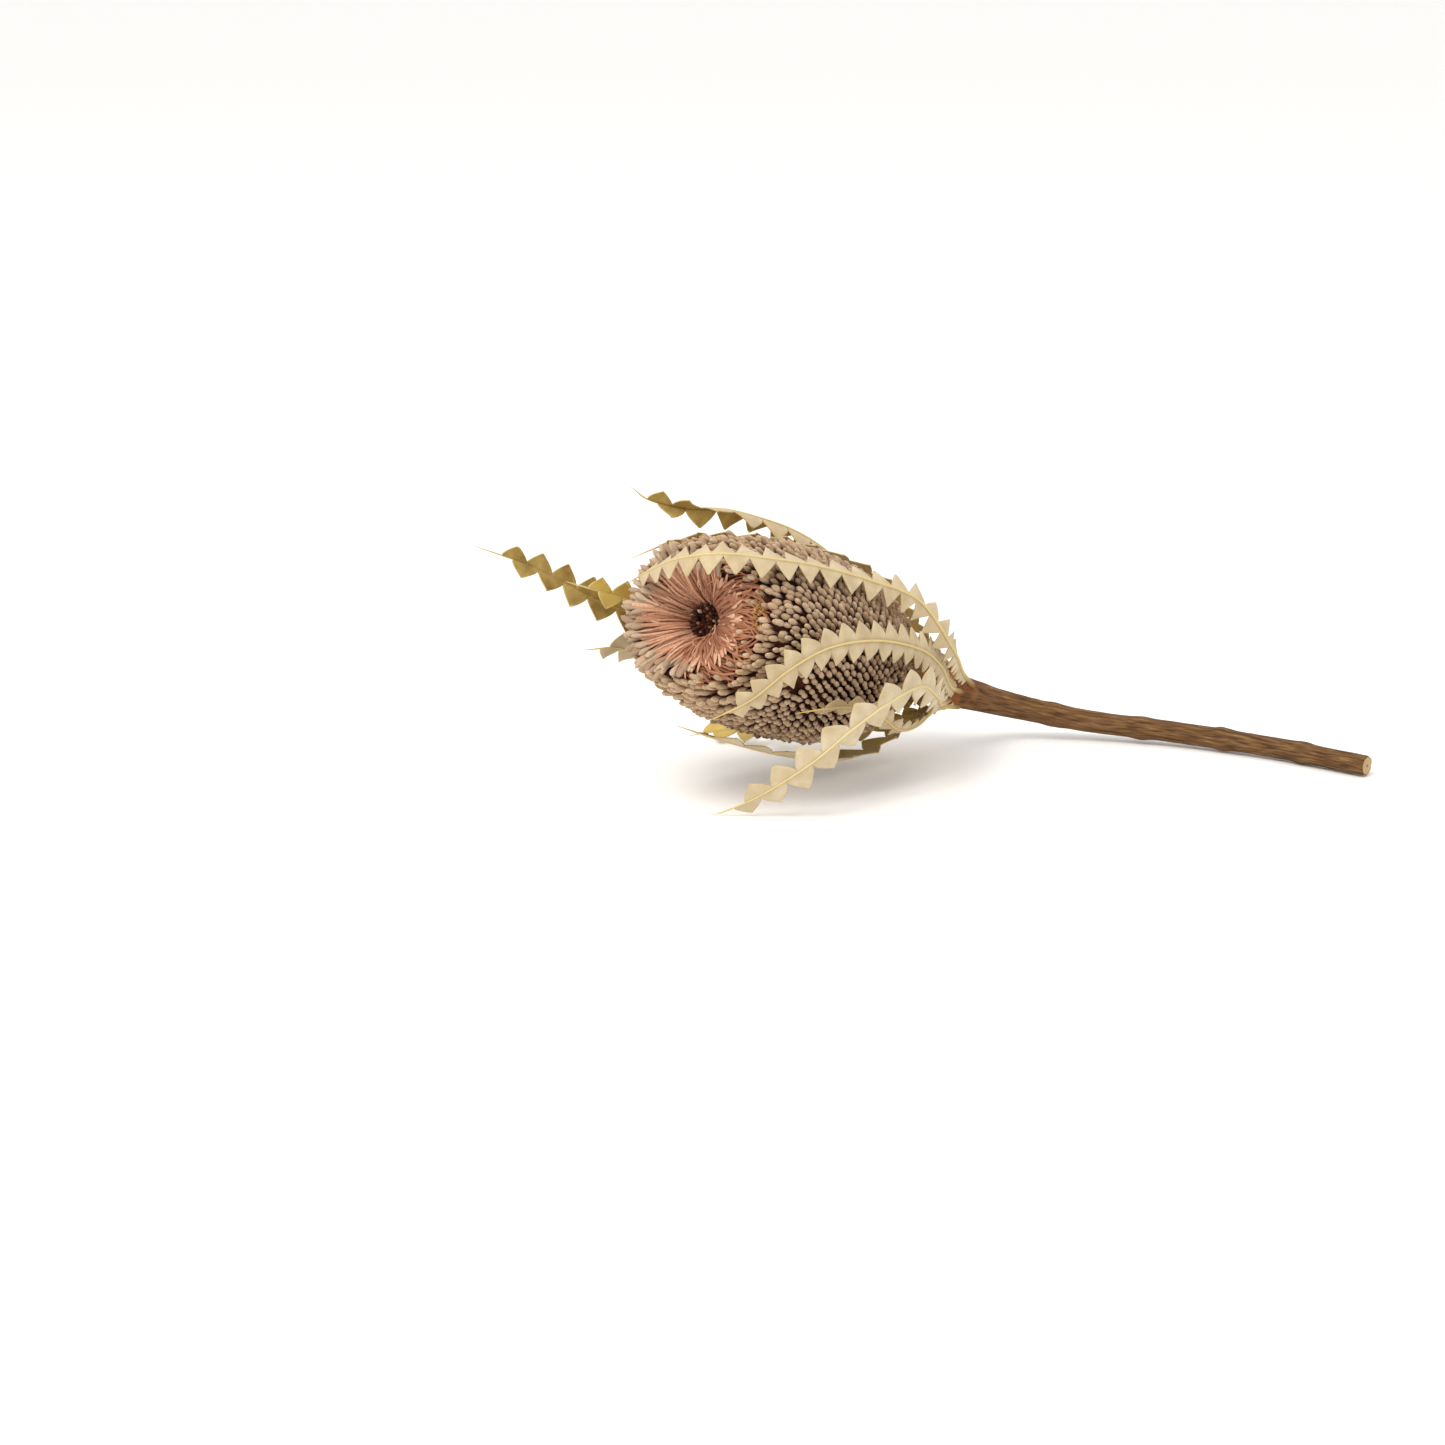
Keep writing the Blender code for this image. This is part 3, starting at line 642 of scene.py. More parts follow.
# %% [markdown]
# ## The tubes round the hollow
#
# At the tip the youngest florets are still short, so the head ends in a hollow. Long tubes run from its
# foot up the wall, and each ends in a knob at the rim. Every tube is a loft along a bent line, and twelve
# stations along it say how thick it is and where its knob sits.

# %% One layer of tubes
WALL_SLOPE = np.array([HOLLOW_EDGE[0] - HOLLOW_FOOT[0], HOLLOW_EDGE[1] - HOLLOW_FOOT[1]])
WALL_UP = np.array([WALL_SLOPE[1], -WALL_SLOPE[0]]) / np.linalg.norm(WALL_SLOPE)
TUBE_STATIONS = np.array([0, 0.1, 0.22, 0.34, 0.46, 0.58, 0.7, 0.8, 0.86, 0.91, 0.96, 1.0])
PLAIN_TUBE = np.array([0.7, 0.8, 0.9, 1, 1, 1, 1, 1, 0.95, 0.9, 0.8, 0.4])
KNOB_GROWTH = np.array([0, 0, 0, 0, 0, 0, 0, 0.1, 0.8, 1.0, 0.8, 0.0])
KNOB_RADIUS = 1.25
KNOBLESS = 62.0             # so near the middle of the worn side the tubes have lost their knobs
FOOT_SHIFT = np.array([0.4, -0.6])      # the tubes start this far from the hollow's foot
END_SCATTER = 0.8
LIFT_RANGE = (0.5, 1.4)
BOW = 2.6                   # spread of the sideways bends, in degrees
DRIFT = 2.2
TUBE_SIZES = (0.75, 1.3)
KNOB_SIZES = (0.85, 1.15)


def wall_tubes(count, end, lift, radius, knobs, loose, rng):
    """Lines, radii and sideways directions of tubes from the hollow's foot to (along, out) at the rim."""
    t = TUBE_STATIONS[None, :, None]
    angle = 360 * (np.arange(count) + rng.uniform(-0.45, 0.45, count)) / count
    start = np.array(HOLLOW_FOOT) + FOOT_SHIFT + rng.normal(0, END_SCATTER, (count, 2))
    finish = np.array(end) + rng.normal(0, END_SCATTER, (count, 2))
    middle = (start + finish) / 2 + (lift * 2 * rng.uniform(*LIFT_RANGE, count))[:, None] * WALL_UP
    path = (1 - t) ** 2 * start[:, None] + 2 * t * (1 - t) * middle[:, None] + t ** 2 * finish[:, None]
    bow = rng.normal(0, BOW * loose, count)[:, None] * np.sin(math.pi * t[..., 0])
    drift = rng.normal(0, DRIFT * loose, count)[:, None] * t[..., 0]
    lines = head_place(path[..., 0], angle[:, None] + bow + drift, path[..., 1])
    radii = radius * rng.uniform(*TUBE_SIZES, count)[:, None] * PLAIN_TUBE
    if knobs:
        grown = KNOB_GROWTH * (off_dip(angle[:, None]) > KNOBLESS * rng.uniform(0.8, 1.1, (count, 1)))
        radii = radii + grown * (KNOB_RADIUS * rng.uniform(*KNOB_SIZES, count)[:, None] - radii)
    return lines, radii, np.cross(outward(angle), AXIS)[:, None]


print("stations along a tube:", len(TUBE_STATIONS))

# %% [markdown]
# The tubes lie in layers: broad flat ones below, then rounder ones, then fine threads with more lift and
# sway. That gives the combed look.

# %% Layers of tubes
# count, (along, out) of their ends, lift off the wall, radius, flatness, with knobs, looseness
TUBE_LAYERS = [(46, (126.0, 23.6), 0.3, 1.3, 0.5, True, 1.0),
               (50, (127.8, 26.4), 0.9, 0.9, 0.7, True, 1.0),
               (56, (129.2, 28.2), 1.6, 0.55, 0.9, True, 1.4),
               (40, (127.4, 24.6), 2.3, 0.5, 1.0, True, 1.6),
               (44, (124.5, 22.6), 1.7, 0.34, 1.0, False, 2.4),
               (30, (121.5, 20.0), 3.2, 0.32, 1.0, False, 3.5)]
SHAFT_STATION = 5
KNOB_STATION = int(np.argmax(KNOB_GROWTH))


def add_tubes(name, groups, finish, rng, sides=8, lightest=1.0, reached=1.0):
    """One piece from groups of (lines, radii, reference, flatness), all with the same stations."""
    rings = np.concatenate([rings_round(lines, radii, sides, reference, squash)
                            for lines, radii, reference, squash in groups])
    count, stations = rings.shape[:2]
    radii = np.concatenate([group[1] for group in groups])
    knobbed = radii[:, KNOB_STATION] > radii[:, SHAFT_STATION]
    reach = reached * TUBE_STATIONS[None, :, None]
    tone = lightest * rng.random(count)[:, None, None]
    shape = rings.shape[:3]
    return make_object(name, rings, loft_faces(count, stations, sides), [finish], reach=spread(reach, shape),
                       tone=spread(tone, shape), knob=spread(knobbed[:, None, None], shape))


tube_groups = [(*wall_tubes(count, end, lift, radius, knobs, loose, rng), flatness)
               for count, end, lift, radius, flatness, knobs, loose in TUBE_LAYERS]
print("tubes on the wall:", sum(layer[0] for layer in TUBE_LAYERS))

# %% [markdown]
# On the worn side the tubes spill over the rim and lie down on the outside of the head. Each follows one
# route, which is blended between a low and a high one, ends early by its own share and is turned to its
# own angle. The tubes fan out from the hollow's foot.

# %% Tubes over the worn rim
SPILLED = 190
SPILL_ANGLE = 94.0
SPILL_SPREAD = 34.0
SPILL_LOW = [(106.6, 7.4), (115.0, 14.0), (118.0, 20.5), (117.0, 26.0), (110.0, 30.6), (101.0, 33.6)]
SPILL_HIGH = [(107.6, 6.6), (120.0, 12.5), (128.0, 21.0), (127.0, 28.0), (116.0, 33.0), (102.0, 36.0)]
SPILL_REACH = (0.55, 1.0)
SPILL_BOW = 9.0             # spread of the sideways bends, in degrees
SPILL_DRIFT = 2.5
SPILL_RADII = (0.3, 0.58)


def spilled_tubes(rng):
    """Lines, radii and sideways directions of tubes that run from the hollow's foot over the rim."""
    low, high = (Route(points).at(TUBE_STATIONS * Route(points).length) for points in (SPILL_LOW, SPILL_HIGH))
    share = rng.uniform(0, 1, SPILLED)[:, None, None]
    full = (1 - share) * low + share * high
    reached = rng.uniform(*SPILL_REACH, SPILLED)
    path = np.stack([[np.interp(own_reach * TUBE_STATIONS, TUBE_STATIONS, column) for column in own.T]
                     for own_reach, own in zip(reached, full)])
    t = TUBE_STATIONS[None]
    away = SPILL_SPREAD * rng.uniform(-1.6, 1.6, SPILLED)[:, None]
    fan = 1.15 - 0.25 * t + rng.normal(0, 0.12, SPILLED)[:, None] * t
    bow = rng.normal(0, SPILL_BOW, SPILLED)[:, None] * np.sin(math.pi * t)
    bow = bow + rng.normal(0, SPILL_DRIFT, SPILLED)[:, None] * t
    lines = head_place(path[:, 0], SPILL_ANGLE + away * fan + bow, path[:, 1])
    radii = rng.uniform(*SPILL_RADII, SPILLED)[:, None] * PLAIN_TUBE
    return lines, radii, np.cross(outward(SPILL_ANGLE + away[:, 0]), AXIS)[:, None], 1.0


print("tubes over the rim:", SPILLED)

# %% [markdown]
# The tubes are a warm pink brown, darkest at the foot of the hollow where little light comes in: that dark
# end of the ramp is painted shade. Along each tube runs a faint grain, and the knobs at the ends have the
# same pale wool as the others. The spilled tubes take all their colours from the darker ends of the ramps, as
# painted shade.

# %% Pink tube finish and pieces
tube_pink = Finish("tube_pink", 0.62, sheen=0.1)
# the dark colour at reach 0, the foot of the hollow, is painted shade
flesh = tube_pink.ramp(tube_pink.mark("reach"), [(0.0, paint(132, 72, 42)), (0.16, paint(202, 134, 98)),
                                                 (0.5, paint(232, 172, 136)), (0.72, paint(226, 174, 138))])
flesh_tone = tube_pink.ramp(tube_pink.mark("tone"), [(0.0, paint(150, 90, 58)), (0.5, paint(222, 164, 128)),
                                                     (1.0, paint(252, 214, 182))])
streaks = tube_pink.ramp(tube_pink.grain(1.1, 4.0), [(0.45, 0.0), (0.75, 0.45)])
streaked = tube_pink.mix(streaks, tube_pink.mix(0.5, flesh, flesh_tone), paint(146, 88, 58))
pale_knob = tube_pink.ramp(tube_pink.mark("tone"), [(0.0, paint(166, 136, 108)), (1.0, paint(208, 182, 152))])
capped = tube_pink.calculate("MULTIPLY", tube_pink.mark("knob"),
                             tube_pink.ramp(tube_pink.mark("reach"), [(0.74, 0.0), (0.84, 1.0)]))
tube_pink.colour(tube_pink.mix(capped, streaked, pale_knob))
tube_pink.relief(tube_pink.grain(0.5, 3.0), 0.2)
wall_piece = add_tubes("hollow_tubes", tube_groups, tube_pink.surface, rng)
# the spilled tubes use only the dark ends of the tone and reach ramps: painted shade
spill_piece = add_tubes("spilled_tubes", [spilled_tubes(rng)], tube_pink.surface, rng,
                        lightest=0.3, reached=0.15)
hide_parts("pink_crown")

# %% [markdown]
# A loop is a thread whose middle has sprung out while both its ends stay held. It starts and ends on the
# wall and bows out from it and to one side.

# %% Loops
LOOP_WALL = 1.35            # the loops may end this far up, where 1 is the top of the wall
LOOP_CLEAR = 1.4            # millimetres between the wall and a thread's ends
LOOP_RADIUS = 0.36
# angle, start and end up the wall, bow off it in millimetres, bow to the side in degrees
CHOSEN_LOOPS = [(-64, 0.12, 0.9, 3.4, 30), (-74, 0.1, 0.95, 3.0, 22), (150, 0.0, 0.42, 6.0, -40),
                (158, 0.05, 0.5, 4.0, -30), (112, 0.05, 0.75, 6.0, 34), (124, 0.1, 0.8, 4.5, 22),
                (-118, 0.2, 0.95, 3.0, -18), (178, 0.3, 1.0, 4.0, 20), (30, 0.1, 0.8, 4.0, -24)]
MORE_LOOPS = 16


def loops(rows, rng):
    """Lines, radii and sideways directions of looping threads."""
    angle, first, last, bow, aside = np.array(rows, float).T[:, :, None]
    t = TUBE_STATIONS[None]
    up_wall = first + (last - first) * t
    arch = np.sin(math.pi * t)
    path = np.array(HOLLOW_FOOT) + up_wall[..., None] * WALL_SLOPE * LOOP_WALL
    path = path + (LOOP_CLEAR + bow * arch)[..., None] * WALL_UP
    lines = head_place(path[..., 0], angle + aside * arch * (1.6 - 0.6 * t), path[..., 1])
    radii = LOOP_RADIUS * rng.uniform(0.85, 1.2, (len(rows), 1)) * PLAIN_TUBE
    return lines, radii, np.cross(outward(angle[:, 0]), AXIS)[:, None], 1.0


more_loops = [(angle, 0.2, 0.95, rng.uniform(1.0, 3.6), rng.uniform(-16, 16))
              for angle in rng.uniform(-180, 180, MORE_LOOPS)]
loop_piece = add_tubes("sprung_threads", [loops(CHOSEN_LOOPS + more_loops, rng)], tube_pink.surface, rng, 6)

# %% [markdown]
# ## The closed buds
#
# In the pit sit the very youngest florets, still tiny dark buds. They are small egg shapes set in the
# sunflower spiral, where each bud is turned 137.5 degrees from the one before.

# %% Buds
BUDS = 74
GOLDEN_TURN = 137.508
PIT_RADIUS = 6.9
BUD_RISE = 7.8              # of the middle buds, above the hollow's floor
BUD_FALL = 5.4              # how much lower the outermost buds stand
BUD_SUNK = 0.8
BUD_SPLAY = 0.06            # sideways lean for each millimetre from the middle
BUD_LENGTHS = (1.8, 2.8)
BUD_RADII = (0.62, 0.85)
BUD_SHAPE = np.array([0.5, 0.9, 1.0, 0.9, 0.62, 0.2])
BUD_SIDES = 8

order = np.arange(BUDS) + 0.5
bud_out = PIT_RADIUS * np.sqrt(order / BUDS)
bud_angle = order * GOLDEN_TURN
bud_along = HOLLOW_FLOOR + BUD_RISE - BUD_FALL * (bud_out / PIT_RADIUS) ** 2 + rng.normal(0, 0.4, BUDS)
t = np.linspace(0, 1, len(BUD_SHAPE))[None, :]
bud_length = rng.uniform(*BUD_LENGTHS, BUDS)[:, None]
bud_foot = head_place(bud_along - BUD_SUNK, bud_angle, bud_out)[:, None]
bud_lean = unit(AXIS + BUD_SPLAY * bud_out[:, None] * outward(bud_angle))[:, None]
bud_lines = bud_foot + (bud_length * t)[..., None] * bud_lean
bud_radii = rng.uniform(*BUD_RADII, BUDS)[:, None] * BUD_SHAPE
bud_rings = rings_round(bud_lines, bud_radii, BUD_SIDES, FRONT[None, None])
pale_bud = rng.random(BUDS)[:, None, None]

bud_skin = Finish("bud_brown", 0.7)
bud_skin.colour(bud_skin.ramp(bud_skin.mark("tone"), [(0.0, paint(40, 12, 8)), (0.6, paint(88, 42, 26)),
                                                      (0.9, paint(130, 80, 54)),
                                                      (1.0, paint(196, 164, 130))]))
bud_skin.relief(bud_skin.grain(0.3), 0.15)
bud_faces = loft_faces(BUDS, len(BUD_SHAPE), BUD_SIDES)
buds = make_object("closed_buds", bud_rings, bud_faces, [bud_skin.surface],
                   tone=spread(pale_bud, bud_rings.shape[:3]))
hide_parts("apex_buds")

# %% [markdown]
# ## Bracts and wool at the neck
#
# Below the lowest florets the neck is wrapped in narrow brown bracts, overlapping like roof tiles, with
# rust coloured wool between them. The bracts are flat tapered lofts, and the wool is fine curved hair.

# %% Bracts
NECK_STATIONS = [-24, -16, -8, -0.8, 3, 10]
NECK_RADII = [7.7, 7.9, 9.9, 12.4, 17.0, 24.5]
BRACTS = 190
FIRST_BRACT = -20.0         # along the axis
BRACT_ZONE = 22.0
BRACT_SIZES = (0.75, 1.15)
BRACT_WAY = np.array([0, 0.2, 0.45, 0.7, 0.88, 1.0])
BRACT_SHAPE = np.array([0.6, 0.95, 1.0, 0.75, 0.4, 0.08])
BRACT_SIDES = 6
BRACT_RADII = (1.0, 1.5)
BRACT_CLEAR = 0.25
SPLAY_RANGE = (-0.2, 1.3)

order = np.arange(BRACTS)
bract_angle = order * GOLDEN_TURN + rng.normal(0, 4, BRACTS)
bract_start = FIRST_BRACT + BRACT_ZONE * order / BRACTS
bract_length = np.interp(order / BRACTS, [0, 1], [6.5, 8.5]) * rng.uniform(*BRACT_SIZES, BRACTS)
t = BRACT_WAY[None]
bract_along = bract_start[:, None] + bract_length[:, None] * t
neck_radius = np.interp(bract_along, NECK_STATIONS, NECK_RADII)
splay = rng.uniform(*SPLAY_RANGE, BRACTS)[:, None] * t ** 2
bract_lines = place(bract_along, bract_angle[:, None] + rng.normal(0, 6, BRACTS)[:, None] * t,
                    neck_radius + BRACT_CLEAR + splay)
bract_radii = rng.uniform(*BRACT_RADII, BRACTS)[:, None] * BRACT_SHAPE
bract_side = np.cross(outward(bract_angle), AXIS)[:, None]
bract_rings = rings_round(bract_lines, bract_radii, BRACT_SIDES, bract_side, squash=0.3)

bract_skin = Finish("bract_brown", 0.85, sheen=0.15)
bract_tone = bract_skin.ramp(bract_skin.mark("tone"), [(0.0, paint(118, 66, 30)), (0.5, paint(170, 112, 58)),
                                                       (1.0, paint(202, 154, 98))])
bract_stains = bract_skin.ramp(bract_skin.grain(1.2), [(0.4, 0.0), (0.7, 0.6)])
bract_skin.colour(bract_skin.mix(bract_stains, bract_tone, paint(112, 58, 24)))
bract_skin.relief(bract_skin.grain(0.4), 0.2)
bract_faces = loft_faces(BRACTS, len(BRACT_SHAPE), BRACT_SIDES)
bracts = make_object("neck_bracts", bract_rings, bract_faces, [bract_skin.surface],
                     tone=spread(rng.random(BRACTS)[:, None, None], bract_rings.shape[:3]))
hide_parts("bract_collar")

# %% [markdown]
# A turned skin under the bracts closes the neck, so that no gap shows between stem and head.

# %% Neck under the bracts
collar_profile = [(-18.5, 4.0), (-18.5, 7.4), (-12, 8.6), (-6, 10.0), (-0.6, 11.9), (-0.6, 0.5)]
collar_points, collar_faces = turned_skin(collar_profile, 40, 0.4)
collar = make_object("neck_core", collar_points, collar_faces, [ground.surface])

# %% [markdown]
# Rust coloured hairs stand between the bracts. Each is a fine loft with three sides, which lifts off the
# neck and curls round it. Three in four point towards the tip, the others back down the stem.

# %% Neck wool
HAIRS = 1500
HAIR_ZONE = (-22, 10)       # along the axis
HAIR_LENGTHS = (2.5, 6.5)
HAIR_LIFTS = (0.15, 0.75)
HAIR_CURL = 16              # spread, in degrees
HAIR_BACK = 0.25            # share that points down the stem
HAIR_RADIUS = 0.16
HAIR_SHAPE = np.array([1.0, 0.95, 0.8, 0.6, 0.2])
HAIR_SIDES = 3

t = np.linspace(0, 1, len(HAIR_SHAPE))[None]
hair_angle = rng.uniform(-180, 180, HAIRS)[:, None]
hair_start = rng.uniform(*HAIR_ZONE, HAIRS)[:, None]
hair_root = np.interp(hair_start, NECK_STATIONS, NECK_RADII)
hair_length = rng.uniform(*HAIR_LENGTHS, HAIRS)[:, None]
hair_lift = rng.uniform(*HAIR_LIFTS, HAIRS)[:, None]
hair_curl = rng.normal(0, HAIR_CURL, HAIRS)[:, None]
hair_way = np.sign(rng.random((HAIRS, 1)) - HAIR_BACK)
hair_lines = place(hair_start + hair_length * t * (1 - 0.35 * t) * hair_way,
                   hair_angle + hair_curl * t ** 2, hair_root - 0.3 + hair_length * hair_lift * t)
hair_radii = HAIR_RADIUS * HAIR_SHAPE[None] * np.ones((HAIRS, 1))
hair_side = outward(hair_angle[:, 0])[:, None] + 0.2 * UPPER
hair_rings = rings_round(hair_lines, hair_radii, HAIR_SIDES, hair_side)
rust = Finish("rust_wool", 0.9, sheen=0.4)
rust.colour(rust.ramp(rust.mark("tone"), [(0.0, paint(140, 78, 32)), (0.5, paint(188, 124, 62)),
                                          (1.0, paint(216, 170, 112))]))
hair_faces = loft_faces(HAIRS, len(HAIR_SHAPE), HAIR_SIDES)
hair = make_object("neck_wool", hair_rings, hair_faces, [rust.surface],
                   tone=spread(rng.random(HAIRS)[:, None, None], hair_rings.shape[:3]))

# %% [markdown]
# ## Scraps caught between the florets
#
# On the worn side of the rim, crumbs of golden bract are caught among the tubes. They are small flat
# flakes, scattered over the patch and turned at random.

# %% Golden crumbs
CRUMBS = 70
CRUMB_PLACE = (108.5, 76.0)     # along and angle of the patch
CRUMB_SPREAD = (2.0, 6.0)
CRUMB_OUT = (32.6, 35.0)
CRUMB_LENGTHS = (0.35, 0.9)     # from the middle of a crumb to its end
CRUMB_RADII = (0.25, 0.6)
CRUMB_WAY = np.array([-1.0, -0.4, 0.4, 1.0])
CRUMB_SHAPE = np.array([0.4, 1.0, 0.9, 0.3])
CRUMB_SIDES = 5

crumb_along = rng.normal(CRUMB_PLACE[0], CRUMB_SPREAD[0], CRUMBS)
crumb_angle = rng.normal(CRUMB_PLACE[1], CRUMB_SPREAD[1], CRUMBS)
crumb_centre = place(crumb_along, crumb_angle, rng.uniform(*CRUMB_OUT, CRUMBS))[:, None]
crumb_way = unit(rng.normal(0, 1, (CRUMBS, 3)))[:, None]
crumb_half = rng.uniform(*CRUMB_LENGTHS, CRUMBS)[:, None, None]
crumb_lines = crumb_centre + crumb_way * CRUMB_WAY[None, :, None] * crumb_half
crumb_radii = rng.uniform(*CRUMB_RADII, CRUMBS)[:, None] * CRUMB_SHAPE
crumb_side = np.roll(crumb_way, 1, axis=2)
crumb_rings = rings_round(crumb_lines, crumb_radii, CRUMB_SIDES, crumb_side, squash=0.4)
gold = Finish("golden_crumb", 0.75)
gold.colour(gold.ramp(gold.mark("tone"), [(0.0, paint(134, 82, 34)), (0.5, paint(184, 128, 60)),
                                          (1.0, paint(216, 172, 104))]))
crumb_faces = loft_faces(CRUMBS, len(CRUMB_SHAPE), CRUMB_SIDES)
crumbs = make_object("golden_crumbs", crumb_rings, crumb_faces, [gold.surface],
                     tone=spread(rng.random(CRUMBS)[:, None, None], crumb_rings.shape[:3]))

# %% [markdown]
# ## The leaves
#
# A leaf is a long blade cut almost to its rib into pointed lobes. The lobes of one side stand half a step
# behind those of the other. The side that faces away from the head is pale felt, the other is olive.
#
# Each lobe is a small grid between two margins, so it can be cupped and its point can curl. The margins
# bulge on some leaves and are straight on others, and the point sits further forward on hooked lobes. The
# grid is one sheet. A Solidify modifier gives it thickness and the second finish on its inner side.

# %% One lobe of the flat leaf
LOBE_HEIGHT = 8.5
RIB_HALF_WIDTH = 1.0
LOBE_POINT = 0.56           # where along its run a lobe has its point
BLUNT = 0.015               # half the width of the point, as a share of the run
ACROSS = np.array([0.0, 0.06, 0.26, 0.5, 0.74, 0.94, 1.0])
# the first two rows are the rib and the uncut web beside it
REACH = np.array([0.0, 0.0, 0.14, 0.3, 0.47, 0.63, 0.78, 0.91, 1.0])
lobe_across, lobe_reach = np.meshgrid(ACROSS, REACH)
beyond_web = (np.arange(len(REACH)) > 0).astype(float)[:, None]
edge = (lobe_across < 0.01) | (lobe_across > 0.99) | (lobe_reach > 0.99)
margin = (edge & (lobe_reach > 0)).astype(float)


def lobe_runs(full, hook):
    """How far along the rib, as a share of the lobe's run, the points of its grid are."""
    point = LOBE_POINT + hook
    near = (point - BLUNT) * lobe_reach ** (0.95 + full + 2.5 * hook)
    far = 1 - (1 - point - BLUNT) * lobe_reach ** (1.0 + 0.65 * full - hook)
    return near + lobe_across * (far - near)


print("points in a lobe:", lobe_reach.size)

# %% [markdown]
# Lobes are short near the stalk and grow along the leaf. Their heights follow, and are never more than a
# little above their run, so the smallest are fine teeth.

# %% Lobes of a whole leaf
BARE_STALK = 0.05           # share of the leaf before its first lobe
LOBED_SHARE = 0.9
SMALL_PITCH = 0.32          # run of the smallest lobes, where 1 is the run of the largest
END_LOBES = (0.8, 0.88)     # from this share of the lobes on, their run is this share
LAST_LOBE = 0.42            # how far the last lobe of the second side goes on
STALK_TAPER = (0.3, 2.2)    # height at the leaf's start, and how fast it grows
TIP_TAPER = (0.45, 2.6)
STEEPEST = 1.15


def lobe_bounds(length, lobes, small, tall):
    """(start, end, side, height) of every lobe of a leaf."""
    risen = np.clip((np.arange(lobes) / lobes - small[0]) / (small[1] - small[0]), 0, 1)
    pitch = SMALL_PITCH + (1 - SMALL_PITCH) * risen
    pitch[np.arange(lobes) >= END_LOBES[0] * lobes] *= END_LOBES[1]
    unit_length = LOBED_SHARE * length / (pitch.sum() + 0.5)
    bounds = BARE_STALK * length + np.concatenate([[0.0], np.cumsum(pitch * unit_length)])
    middles = np.append((bounds[:-1] + bounds[1:]) / 2, bounds[-1] + LAST_LOBE * pitch[-1] * unit_length)

    def height(start, end):
        share = (start + LOBE_POINT * (end - start)) / length
        tapered = tall * LOBE_HEIGHT * min(1.0, STALK_TAPER[0] + STALK_TAPER[1] * share)
        tapered *= min(1.0, TIP_TAPER[0] + TIP_TAPER[1] * (1 - share))
        return min(tapered, STEEPEST * (end - start) + RIB_HALF_WIDTH)

    found = []
    for k in range(lobes):
        found.append((bounds[k], bounds[k + 1], 1, height(bounds[k], bounds[k + 1])))
        found.append((middles[k], middles[k + 1], -1, height(middles[k], middles[k + 1])))
    return found


print("lobes of a 200 mm leaf:", len(lobe_bounds(200.0, 14, (0.0, 0.45), 1.0)))

# %% [markdown]
# A leaf follows its own route round the head. At each point of it the blade faces away from the head,
# and its two halves fold inward about the rib. The same few lines place the blade and its rib.

# %% Directions on a leaf
CORE_START = 10.0           # leaves face away from this stretch of the spike's axis
CORE_END = 85.0


def leaf_frame(route, distance):
    """Centre, direction, sideways and away of a leaf at distances along its route."""
    read = route.at(distance)
    centre, roll = read[..., :3], np.radians(read[..., 3:])
    direction = unit(route.at(distance + 0.6)[..., :3] - route.at(distance - 0.6)[..., :3])
    core_along = np.clip((centre - BASE) @ AXIS, CORE_START, CORE_END)
    away = centre - (BASE + core_along[..., None] * AXIS)
    away = unit(away - (away * direction).sum(-1, keepdims=True) * direction)
    away = np.cos(roll) * away + np.sin(roll) * np.cross(direction, away)
    return centre, direction, np.cross(direction, away), away


print("leaves face away from the axis between", CORE_START, "and", CORE_END, "mm")

# %% [markdown]
# A blade is all its lobes in one mesh. Six values say what they are like: how full they are, over which
# share of the leaf they grow, how far their points are hooked and how much they curl, how wide the uncut
# web beside the rib is, and how tall they are. Random draws make every lobe curl and twist a little more
# or less.

# %% Blades
BLADE_THICKNESS = 0.5
CUP = 0.055                 # depth of a lobe's cup, as a share of its run
CURL_RANGE = (-0.9, 0.5)
TWIST_SPREAD = 0.5


def add_blade(name, route, lobes, fold, shade, finishes, rng, full=0.5, small=(0.0, 0.45), hook=0.0,
              curling=0.0, web=RIB_HALF_WIDTH, tall=1.0):
    """Blade of a leaf along its route, with the lobes of both sides."""
    across, inward = math.cos(math.radians(fold)), math.sin(math.radians(fold))
    points, faces, tones = [], [], []
    corner = np.arange(lobe_reach.size).reshape(lobe_reach.shape)
    for start, end, side, height in lobe_bounds(route.length, lobes, small, tall):
        runs = lobe_runs(full, hook)
        centre, direction, sideways, away = leaf_frame(route, start + (end - start) * runs)
        uncut = RIB_HALF_WIDTH + (web - RIB_HALF_WIDTH) * height / LOBE_HEIGHT
        v = (beyond_web * uncut + (height - uncut) * lobe_reach)[..., None]
        face = across * away + side * inward * sideways
        cup = CUP * (end - start) * (1 - (2 * lobe_across - 1) ** 2) * lobe_reach * (1 - 0.4 * lobe_reach)
        curl = (curling + rng.uniform(*CURL_RANGE)) * lobe_reach ** 2 * height / LOBE_HEIGHT
        skew = rng.normal(0, TWIST_SPREAD) * (lobe_across - 0.5) * lobe_reach
        first = sum(len(p) for p in points)
        lobe = centre + v * (across * side * sideways - inward * away) + (cup + curl + skew)[..., None] * face
        points.append(lobe.reshape(-1, 3))
        quad = first + np.stack([corner[:-1, :-1], corner[:-1, 1:], corner[1:, 1:], corner[1:, :-1]], -1)
        quad = quad.reshape(-1, 4)
        faces += (quad[:, ::-1] if side > 0 else quad).tolist()
        tones.append(np.full(lobe_reach.size, rng.random()))
    blade = make_object(name, np.concatenate(points), faces, finishes, lowest=BLADE_THICKNESS / 2,
                        margin=np.tile(margin.ravel(), len(points)), tone=np.concatenate(tones),
                        shade=np.full(len(points) * lobe_reach.size, shade))
    thick = blade.modifiers.new("thickness", "SOLIDIFY")
    thick.thickness = BLADE_THICKNESS * MM
    thick.offset = 0.0
    thick.material_offset = 1
    thick.material_offset_rim = 0
    return blade


print("a blade is", BLADE_THICKNESS, "mm thick")

# %% [markdown]
# The rib stands a little proud of the blade on its outer side. It starts in a thick foot and runs out in
# a point.

